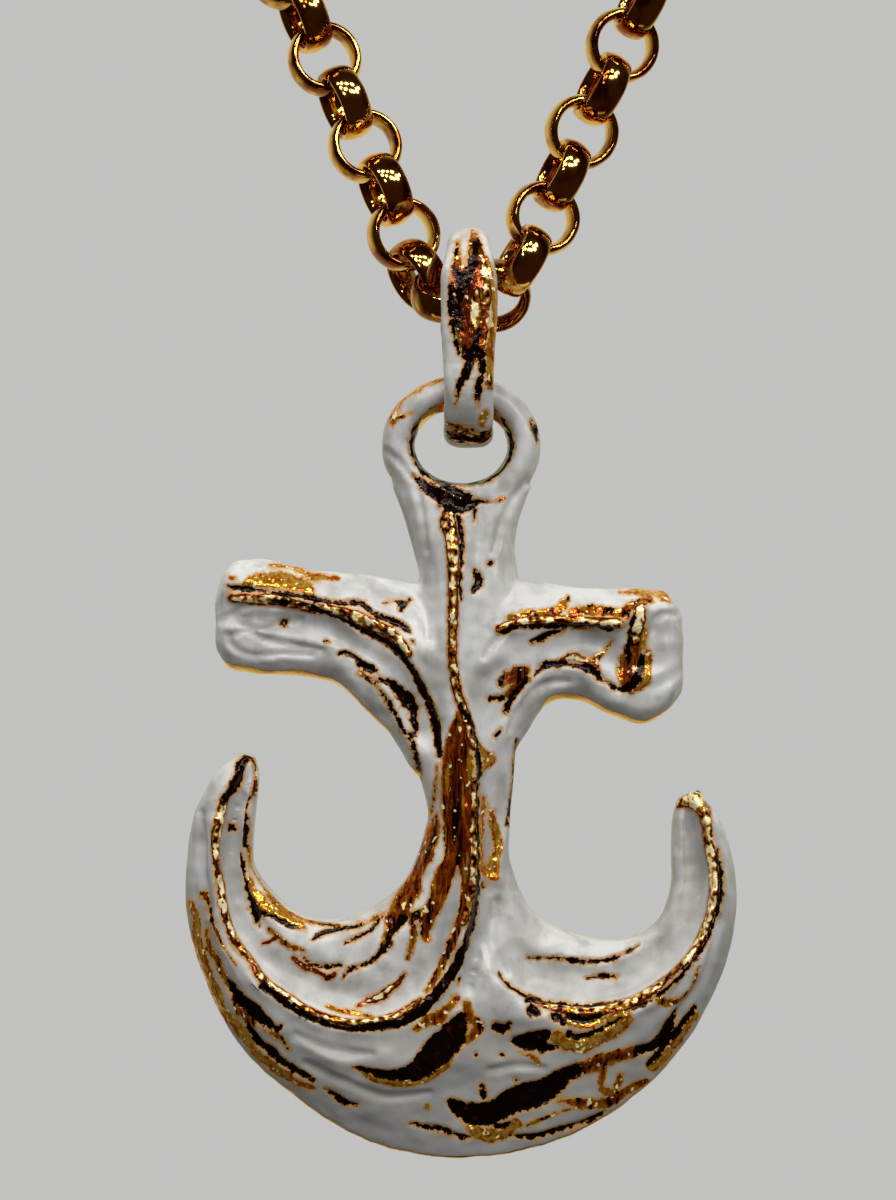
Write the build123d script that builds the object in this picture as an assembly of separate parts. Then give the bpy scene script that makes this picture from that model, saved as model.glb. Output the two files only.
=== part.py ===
from build123d import *
import os
from math import cos, floor, hypot, pi, radians, sin, sqrt, tan

# Anchor pendant on a belcher chain, in millimetres.
# +X is the wearer's left, seen on the right from the front. -Y is the front. +Z is up.
# The origin is the nape, where the loop of chain hangs on the neck.

# The necklace loop, laid flat: a circle behind the neck and two straight strands down to a V
LOOP_RADIUS = 72.8
VEE_HALF_ANGLE = 25.0
# The same loop when worn: upright on the chest, then bent back over the shoulders
CHEST_HEIGHT = 85.0
SHOULDER_RADIUS = 60.0
SHOULDER_TURN = 70.0

# One link of the chain: a round band with a domed wall and a flatter rim
LINK_DIAMETER = 6.75
LINK_WALL = 1.0
LINK_BAND = 2.6
LINK_RIM = 0.4
# How much closer together than fully stretched the links hang
LINK_SLACK = 0.45
LINK_PITCH = LINK_DIAMETER - 2 * LINK_WALL - LINK_SLACK
# The strands are rolled a little towards +X, less and less over this many links
STRAND_ROLL = 17.0
ROLL_FADE_LINKS = 40

# The links round the bottom of the V, which the bail's weight has turned out of line.
# x, y and z of each middle as shares of LINK_PITCH from the middle of the V, then the way
# its open side faces: degrees turned from the front towards +X, and degrees tilted up.
VEE_LINKS = [
    # name, x, y, z, turn, tilt
    ("left_3", -1.39, 0.08, 1.32, 19.0, 2.0),
    ("left_2", -1.10, 0.27, 0.50, -63.0, -30.0),
    ("left_1", -0.47, -0.05, 0.05, 3.0, 53.0),
    ("right_1", 0.50, 0.03, 0.04, 6.0, -32.0),
    ("right_2", 1.07, -0.26, 0.73, -73.0, 28.0),
    ("right_3", 1.52, -0.11, 1.63, 17.0, 0.0),
]
# Height of the middle of the V, where the bail hangs, over the point where the strands would meet
VEE_LIFT = 1.558 * LINK_PITCH

# The clasp: a plain closed loop behind the neck
CLASP_LENGTH = 16.0
CLASP_WIDTH = 8.4
CLASP_WALL = 1.6
CLASP_DEPTH = 2.2
CLASP_ROUNDING = 0.3 * CLASP_WALL
LINK_CLEARANCE = 0.15

# The bail: a long loop seen edge on, with its hole along X
BAIL_CENTRE_X = -0.15
BAIL_WALL = 2.5
BAIL_FOOT_WALL = 2.9
BAIL_HOLE_LENGTH = 14.45
BAIL_TOP_WIDTH = 3.3
BAIL_WIDTH = 5.2
BAIL_FOOT_WIDTH = 4.5
BAIL_ROUNDING = 0.46 * BAIL_WALL
CHAIN_CLEARANCE = 0.33

# The anchor's eye
EYE_CENTRE_X = -0.8
EYE_HOLE_WIDTH = 8.3
EYE_HOLE_HEIGHT = 6.7
EYE_WALL = 3.0
EYE_DEPTH = 5.0
# Height of the eye's hole over the top of the bail's foot
EYE_CLEARANCE = 0.7

# The anchor's shank, from the eye's hole to the middle of the crown
SHANK_LENGTH = 35.65
SHANK_WIDTH = 8.9
SHANK_FRONT = 5.0
# The stock, crossing the shank this far under the eye's hole
STOCK_DROP = 12.45
STOCK_LEFT = 22.0
STOCK_RIGHT = 19.8
STOCK_HEIGHT = 9.0
STOCK_FRONT = 4.3
# The crown and arms, round one circle
CROWN_RADIUS = 24.8
CROWN_FRONT = 5.2
# Depth of the anchor's flatter back, shared by all its limbs
BACK_DEPTH = 3.2

# Sections of the anchor's limbs. Each is a straight cut through the limb as seen from the front,
# from one edge to the other. crest and shelf say how far along that cut its two front ridges
# stand, and crest_up and shelf_up how far forward, as shares of the limb's front depth.

# Shank: down as a share of SHANK_LENGTH, into as a share of CROWN_RADIUS past the crown's middle,
# left and right as shares of SHANK_WIDTH
SHANK_SECTIONS = [
    # down, into, left, right, crest, crest_up, shelf, shelf_up
    (0.007, 0.00, -0.70, 0.71, 0.43, 0.60, 0.75, 0.50),
    (0.070, 0.00, -0.60, 0.61, 0.44, 0.68, 0.75, 0.54),
    (0.146, 0.00, -0.51, 0.54, 0.41, 0.78, 0.75, 0.60),
    (0.221, 0.00, -0.43, 0.56, 0.37, 0.86, 0.75, 0.66),
    (0.397, 0.00, -0.44, 0.56, 0.36, 0.92, 0.78, 0.70),
    (0.549, 0.00, -0.44, 0.56, 0.44, 0.95, 0.80, 0.66),
    (0.700, 0.00, -0.44, 0.54, 0.58, 0.98, 0.84, 0.56),
    (0.851, 0.00, -0.33, 0.49, 0.60, 1.02, 0.84, 0.50),
    (1.000, 0.00, -0.50, 0.48, 0.66, 1.04, 0.86, 0.50),
    (1.000, 0.22, -0.48, 0.50, 0.55, 1.02, 0.80, 0.70),
    (1.000, 0.45, -0.36, 0.45, 0.45, 0.80, 0.75, 0.66),
]
# Stock: out as a share of STOCK_LEFT or STOCK_RIGHT, top and bottom as shares of STOCK_HEIGHT
# over the stock's middle
STOCK_LEFT_SECTIONS = [
    # out, top, bottom, crest, crest_up, shelf, shelf_up
    (1.000, 0.28, -0.28, 0.30, 0.50, 0.75, 0.48),
    (0.963, 0.50, -0.42, 0.22, 0.76, 0.78, 0.68),
    (0.850, 0.62, -0.51, 0.28, 0.90, 0.80, 0.80),
    (0.660, 0.54, -0.54, 0.34, 0.96, 0.80, 0.84),
    (0.504, 0.49, -0.63, 0.36, 1.00, 0.75, 0.86),
    (0.373, 0.46, -0.92, 0.37, 1.00, 0.75, 0.86),
    (0.270, 0.41, -1.19, 0.36, 1.00, 0.77, 0.84),
    (0.200, 0.38, -1.47, 0.40, 1.00, 0.84, 0.78),
    (0.066, 0.28, -1.72, 0.45, 0.98, 0.84, 0.76),
    (0.000, 0.20, -1.80, 0.45, 0.86, 0.84, 0.70),
]
STOCK_RIGHT_SECTIONS = [
    # out, top, bottom, crest, crest_up, shelf, shelf_up
    (1.000, 0.06, -0.70, 0.35, 0.50, 0.70, 0.50),
    (0.968, 0.20, -0.80, 0.24, 0.78, 0.76, 0.74),
    (0.836, 0.32, -1.01, 0.18, 0.96, 0.81, 0.90),
    (0.668, 0.33, -0.92, 0.26, 0.96, 0.83, 0.86),
    (0.523, 0.34, -0.78, 0.32, 0.96, 0.74, 0.84),
    (0.386, 0.39, -0.82, 0.34, 0.98, 0.74, 0.84),
    (0.277, 0.42, -1.17, 0.31, 1.00, 0.76, 0.80),
    (0.132, 0.39, -1.61, 0.35, 0.98, 0.80, 0.76),
    (0.030, 0.34, -1.70, 0.38, 0.88, 0.80, 0.72),
]
# Arms: both ends of each cut as shares of CROWN_RADIUS from the crown's middle
LEFT_ARM_SECTIONS = [
    # outer x, outer z, inner x, inner z, crest, crest_up, shelf, shelf_up
    (-0.795, 0.465, -0.744, 0.444, 0.40, 0.40, 0.75, 0.38),
    (-0.871, 0.404, -0.733, 0.378, 0.45, 0.56, 0.80, 0.44),
    (-0.940, 0.298, -0.740, 0.298, 0.42, 0.66, 0.84, 0.48),
    (-0.987, 0.124, -0.755, 0.124, 0.42, 0.75, 0.86, 0.50),
    (-0.995, -0.095, -0.747, 0.040, 0.48, 0.82, 0.86, 0.52),
    (-0.933, -0.338, -0.689, -0.040, 0.42, 0.88, 0.84, 0.54),
    (-0.805, -0.585, -0.602, -0.116, 0.45, 0.94, 0.82, 0.58),
    (-0.587, -0.789, -0.478, -0.149, 0.48, 0.98, 0.80, 0.62),
    (-0.333, -0.940, -0.315, -0.098, 0.50, 1.00, 0.80, 0.66),
    (-0.078, -0.997, -0.187, 0.025, 0.53, 1.00, 0.80, 0.72),
    (0.140, -0.990, -0.115, 0.233, 0.59, 0.98, 0.82, 0.76),
]
RIGHT_ARM_SECTIONS = [
    # outer x, outer z, inner x, inner z, crest, crest_up, shelf, shelf_up
    (0.856, 0.320, 0.787, 0.298, 0.40, 0.40, 0.75, 0.34),
    (0.922, 0.244, 0.769, 0.233, 0.33, 0.54, 0.80, 0.34),
    (0.969, 0.124, 0.762, 0.124, 0.30, 0.62, 0.82, 0.34),
    (0.995, -0.040, 0.762, -0.022, 0.34, 0.70, 0.82, 0.34),
    (0.975, -0.233, 0.722, -0.142, 0.41, 0.78, 0.82, 0.36),
    (0.888, -0.458, 0.638, -0.200, 0.50, 0.84, 0.84, 0.38),
    (0.715, -0.698, 0.515, -0.218, 0.55, 0.88, 0.84, 0.42),
    (0.487, -0.873, 0.376, -0.185, 0.59, 0.92, 0.84, 0.46),
    (0.254, -0.967, 0.242, -0.095, 0.61, 0.92, 0.84, 0.54),
    (0.067, -0.997, 0.173, 0.087, 0.61, 0.92, 0.84, 0.60),
    (-0.090, -0.996, 0.165, 0.220, 0.62, 0.92, 0.84, 0.62),
]
# The front face's edges and the sloped edge of the back, as shares of the front and back depths
EDGE_UP_SHARE = 0.30
BACK_EDGE_SHARE = 0.45
BACK_INSET_SHARE = 0.16


def worn(height):
    """Depth, height and lean of the worn loop at a height of the flat one above the V's point."""
    turn = radians(SHOULDER_TURN)
    if height < CHEST_HEIGHT:
        return 0.0, height, 0.0
    bend = SHOULDER_RADIUS * turn
    if height < CHEST_HEIGHT + bend:
        lean = (height - CHEST_HEIGHT) / SHOULDER_RADIUS
        return SHOULDER_RADIUS * (1 - cos(lean)), CHEST_HEIGHT + SHOULDER_RADIUS * sin(lean), lean
    rest = height - CHEST_HEIGHT - bend
    depth = SHOULDER_RADIUS * (1 - cos(turn)) + rest * sin(turn)
    return depth, CHEST_HEIGHT + SHOULDER_RADIUS * sin(turn) + rest * cos(turn), turn


# Places that the pieces share
STRAIGHT_STRAND = LOOP_RADIUS / tan(radians(VEE_HALF_ANGLE))
LOOP_CENTRE_HEIGHT = LOOP_RADIUS / sin(radians(VEE_HALF_ANGLE))
SIDE_LENGTH = STRAIGHT_STRAND + LOOP_RADIUS * (pi / 2 + radians(VEE_HALF_ANGLE))
NAPE_DEPTH, NAPE_RISE, NAPE_LEAN = worn(LOOP_CENTRE_HEIGHT + LOOP_RADIUS)
VEE_POINT = Vector(0, -NAPE_DEPTH, -NAPE_RISE)
VEE_CENTRE = VEE_POINT + Vector(0, 0, VEE_LIFT)
BAIL_CENTRE = VEE_CENTRE + Vector(BAIL_CENTRE_X, 0, 0)
BAIL_HOLE_RADIUS = LINK_DIAMETER / 2 + CHAIN_CLEARANCE
# The inside and the outside of the bail's foot, below the bail's centre
FOOT_TOP = BAIL_HOLE_LENGTH - BAIL_HOLE_RADIUS
FOOT_BOTTOM = FOOT_TOP + BAIL_FOOT_WALL
EYE_DROP = FOOT_TOP - EYE_CLEARANCE + EYE_HOLE_HEIGHT / 2
EYE_CENTRE = VEE_CENTRE + Vector(EYE_CENTRE_X, 0, -EYE_DROP)


def strand_point(distance, side):
    """Place, direction and outward normal on a strand, by distance from the V's point."""
    half_angle = radians(VEE_HALF_ANGLE)
    if distance < STRAIGHT_STRAND:
        across, up = distance * sin(half_angle), distance * cos(half_angle)
        across_step, up_step = sin(half_angle), cos(half_angle)
    else:
        round_angle = (distance - STRAIGHT_STRAND) / LOOP_RADIUS - half_angle
        across = LOOP_RADIUS * cos(round_angle)
        up = LOOP_CENTRE_HEIGHT + LOOP_RADIUS * sin(round_angle)
        across_step, up_step = -sin(round_angle), cos(round_angle)
    depth, height, lean = worn(up)
    place = VEE_POINT + Vector(side * across, depth, height)
    direction = Vector(side * across_step, up_step * sin(lean), up_step * cos(lean))
    normal = Vector(0, -cos(lean), sin(lean))
    return place, direction, normal


def facing(turn, tilt):
    """The direction turned from the front towards +X and then tilted up, by angles in degrees."""
    turn, tilt = radians(turn), radians(tilt)
    return Vector(sin(turn) * cos(tilt), -cos(turn) * cos(tilt), sin(tilt))


def vee_places(side):
    """The places of one side's links round the bottom of the V, the lowest last."""
    places = []
    for _, x, y, z, turn, tilt in VEE_LINKS:
        if x * side > 0:
            middle = VEE_CENTRE + Vector(x, y, z) * LINK_PITCH
            places.append(Plane(origin=middle, z_dir=facing(turn, tilt)))
    return sorted(places, key=lambda place: -place.origin.Z)


def last_link_reach():
    """Distance from the nape to the last link, whose band lies inside the clasp's round end."""
    band_edge = LINK_BAND / 2 + (CLASP_LENGTH / 2) ** 2 / (2 * LOOP_RADIUS)
    hole_radius = CLASP_WIDTH / 2 - CLASP_WALL
    hole_end = CLASP_LENGTH / 2 - CLASP_WIDTH / 2 + sqrt(hole_radius ** 2 - band_edge ** 2)
    return hole_end - LINK_CLEARANCE - LINK_WALL + LINK_DIAMETER / 2


def strand_places(side):
    """The places of one strand's links, in line, from the V's highest link up to the clasp."""
    highest = vee_places(side)[0].origin - VEE_POINT
    start = hypot(highest.X, highest.Z)
    length = SIDE_LENGTH - last_link_reach() - start
    # The last link stands on edge, across the flat clasp, so the count is odd
    count = 2 * floor(length / LINK_PITCH / 2) + 1
    places = []
    for index in range(1, count + 1):
        middle, direction, normal = strand_point(start + index * length / count, side)
        on_edge = 90 if index % 2 else 0
        roll = radians(STRAND_ROLL * max(0, 1 - index / ROLL_FADE_LINKS) + on_edge)
        axis = normal * cos(roll) + direction.cross(normal) * sin(roll)
        places.append(Plane(origin=middle, x_dir=direction, z_dir=axis))
    return places


def link():
    """A domed band, turned round Z."""
    middle = (LINK_DIAMETER - LINK_WALL) / 2
    half_wall, half_rim, half_band = LINK_WALL / 2, LINK_RIM / 2, LINK_BAND / 2
    outside = ThreePointArc((middle + half_rim, -half_band), (middle + half_wall, 0),
                            (middle + half_rim, half_band))
    inside = ThreePointArc((middle - half_rim, half_band), (middle - half_wall, 0),
                           (middle - half_rim, -half_band))
    section = make_face([outside, Line(outside @ 1, inside @ 0), inside, Line(inside @ 1, outside @ 0)])
    return revolve(Plane.XZ * section, Axis.Z, 360)


def chain(side):
    """One half of the chain: loose links that pass through each other."""
    one_link = link()
    return Compound([place * one_link for place in vee_places(side) + strand_places(side)])


def chain_left():
    return chain(-1)


def chain_right():
    return chain(1)


def clasp():
    """A closed loop with round ends, flat against the nape."""
    outline = SlotOverall(CLASP_LENGTH, CLASP_WIDTH)
    hole = SlotOverall(CLASP_LENGTH - 2 * CLASP_WALL, CLASP_WIDTH - 2 * CLASP_WALL)
    body = extrude(outline - hole, CLASP_DEPTH / 2, both=True)
    body = fillet(body.edges(), CLASP_ROUNDING)
    lie = Plane(origin=(0, 0, 0), x_dir=(1, 0, 0), z_dir=(0, -cos(NAPE_LEAN), sin(NAPE_LEAN)))
    return lie * body


def bail():
    """A long loop cut from its side outline and its front outline, then rounded."""
    inner, outer = BAIL_HOLE_RADIUS, BAIL_HOLE_RADIUS + BAIL_WALL
    # Heights of the hole's lower centre and of the widest place
    low, waist_height = inner - FOOT_TOP, -BAIL_ROUNDING / 2
    # Side outline, in Y and Z: a round top over the chain and a rounded foot in the eye
    side = make_face([
        ThreePointArc((outer, 0), (0, outer), (-outer, 0)),
        Line((-outer, 0), (-outer, low)),
        ThreePointArc((-outer, low), (0, -FOOT_BOTTOM), (outer, low)),
        Line((outer, low), (outer, 0)),
    ])
    hole = Pos(0, low / 2) * SlotOverall(2 * inner - low, 2 * inner, rotation=90)
    loop = extrude(Plane.YZ * (side - hole), BAIL_WIDTH, both=True)
    # Front outline, in X and Z: narrow at the top, widest at the chain, a little less at the foot
    top, waist, foot = BAIL_TOP_WIDTH / 2, BAIL_WIDTH / 2, BAIL_FOOT_WIDTH / 2
    left = Spline((-top, outer), (-waist, waist_height), (-foot, low), (-foot, -FOOT_BOTTOM))
    right = Spline((foot, -FOOT_BOTTOM), (foot, low), (waist, waist_height), (top, outer))
    front = make_face([left, Line(left @ 1, right @ 0), right, Line(right @ 1, left @ 0)])
    body = loop & extrude(Plane.XZ * front, 2 * outer, both=True)
    body = fillet(body.edges(), BAIL_ROUNDING)
    return Pos(BAIL_CENTRE) * body


def limb(cuts, front):
    """A solid through straight cuts: (start, end, crest, crest_up, shelf, shelf_up), seen in X and Z."""
    wires = []
    for start, end, crest, crest_up, shelf, shelf_up in cuts:
        front_edge = -EDGE_UP_SHARE * crest_up * front
        back, back_edge = crest_up * BACK_DEPTH, BACK_EDGE_SHARE * crest_up * BACK_DEPTH
        # Round the section: share of the way from start to end, and depth
        corners = [
            (0, front_edge), (crest, -crest_up * front), (shelf, -shelf_up * front), (1, front_edge),
            (1, back_edge), (1 - BACK_INSET_SHARE, back), (BACK_INSET_SHARE, back), (0, back_edge),
        ]
        points = [start + (end - start) * along + Vector(0, depth, 0) for along, depth in corners]
        wires.append(Wire.make_polygon(points, close=True))
    return Solid.make_loft(wires, ruled=True)


def shank():
    """The upright limb, from under the eye's hole down into the crown."""
    cuts = []
    for down, into, left, right, *ridges in SHANK_SECTIONS:
        z = -(EYE_HOLE_HEIGHT / 2 + down * SHANK_LENGTH + into * CROWN_RADIUS)
        cuts.append((Vector(left * SHANK_WIDTH, 0, z), Vector(right * SHANK_WIDTH, 0, z), *ridges))
    return limb(cuts, SHANK_FRONT)


def stock(sections, reach):
    """One side of the stock, its cuts upright, from its end in to the shank."""
    middle = -(EYE_HOLE_HEIGHT / 2 + STOCK_DROP)
    cuts = []
    for out, top, bottom, *ridges in sections:
        cuts.append((Vector(out * reach, 0, middle + top * STOCK_HEIGHT),
                     Vector(out * reach, 0, middle + bottom * STOCK_HEIGHT), *ridges))
    return limb(cuts, STOCK_FRONT)


def arm(sections):
    """One arm, its cuts fanned round the crown's middle, from the tip in to the shank."""
    middle = Vector(0, 0, -(EYE_HOLE_HEIGHT / 2 + SHANK_LENGTH))
    cuts = []
    for outer_x, outer_z, inner_x, inner_z, *ridges in sections:
        cuts.append((middle + Vector(outer_x, 0, outer_z) * CROWN_RADIUS,
                     middle + Vector(inner_x, 0, inner_z) * CROWN_RADIUS, *ridges))
    return limb(cuts, CROWN_FRONT)


def eye():
    """An oval ring, its wall an oval section carried round the hole."""
    across, up = (EYE_HOLE_WIDTH + EYE_WALL) / 2, (EYE_HOLE_HEIGHT + EYE_WALL) / 2
    path = Plane.XZ * Ellipse(across, up)
    start = Plane(origin=(across, 0, 0), x_dir=(1, 0, 0), z_dir=(0, 0, 1))
    section = start * Ellipse(EYE_WALL / 2, EYE_DEPTH / 2)
    return sweep(section.faces()[0], path=path.wires()[0])


def anchor():
    """The casting: eye, shank, both sides of the stock and both arms, in one solid."""
    body = shank()
    body += stock(STOCK_LEFT_SECTIONS, -STOCK_LEFT)
    body += stock(STOCK_RIGHT_SECTIONS, STOCK_RIGHT)
    body += arm(LEFT_ARM_SECTIONS)
    body += arm(RIGHT_ARM_SECTIONS)
    body += eye()
    return Pos(EYE_CENTRE) * body


os.makedirs("parts", exist_ok=True)
for node in (anchor, bail, chain_left, chain_right, clasp):
    export_step(node(), f"parts/{node.__name__}.step")
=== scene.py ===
"""Looks of the anchor pendant: white enamel rubbed through to gold, on a gold belcher chain.

Shapes and charts are in millimetres. The meshes go to Blender in metres, in the frame's own axes:
+X to the wearer's left, -Y out of the front, +Z up.
"""

import logging
import math
from dataclasses import dataclass, field
from enum import Enum

import bmesh
import bpy
import numpy as np
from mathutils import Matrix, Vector


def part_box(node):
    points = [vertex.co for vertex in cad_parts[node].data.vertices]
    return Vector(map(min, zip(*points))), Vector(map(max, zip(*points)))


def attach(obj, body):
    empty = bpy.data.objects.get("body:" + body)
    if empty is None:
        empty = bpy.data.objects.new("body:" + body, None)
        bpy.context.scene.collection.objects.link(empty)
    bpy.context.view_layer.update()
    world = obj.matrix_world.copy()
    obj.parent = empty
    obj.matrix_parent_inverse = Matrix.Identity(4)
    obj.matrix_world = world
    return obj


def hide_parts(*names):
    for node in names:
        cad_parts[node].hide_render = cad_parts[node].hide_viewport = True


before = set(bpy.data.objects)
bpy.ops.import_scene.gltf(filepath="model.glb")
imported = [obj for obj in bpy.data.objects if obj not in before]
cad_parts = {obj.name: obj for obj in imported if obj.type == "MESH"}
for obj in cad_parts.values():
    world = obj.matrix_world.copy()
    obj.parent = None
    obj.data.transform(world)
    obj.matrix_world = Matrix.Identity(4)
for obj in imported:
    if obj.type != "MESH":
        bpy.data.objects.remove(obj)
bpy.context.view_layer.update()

logging.basicConfig(level=logging.INFO, format="%(name)s: %(message)s")
log = logging.getLogger("pendant")

MM = 0.001
TURN = 2 * math.pi
# A distance that counts as nowhere near, and the most that is kept on a mesh, in mm
FAR = 99.0
CHART_REACH = 2.0
# Points that a stroke's line gets for each row of its chart
STEPS_PER_ROW = 5
# Sine waves in each layer of unevenness, and what brings their mean to about -1 to 1
WAVE_COUNT = 8
WAVE_GAIN = 1.8

Row = tuple[float, ...]
Stroke = list[Row]
Shell = tuple[np.ndarray, list]
Socket = bpy.types.NodeSocket


class Rub(Enum):
    """What shows where the enamel is rubbed away; the dark kind also holds painted shade and painted dark
    reflection.
    """

    OCHRE = "ochre"
    BROWN = "brown"
    BRIGHT = "bright"
    DARK = "dark"


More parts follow.
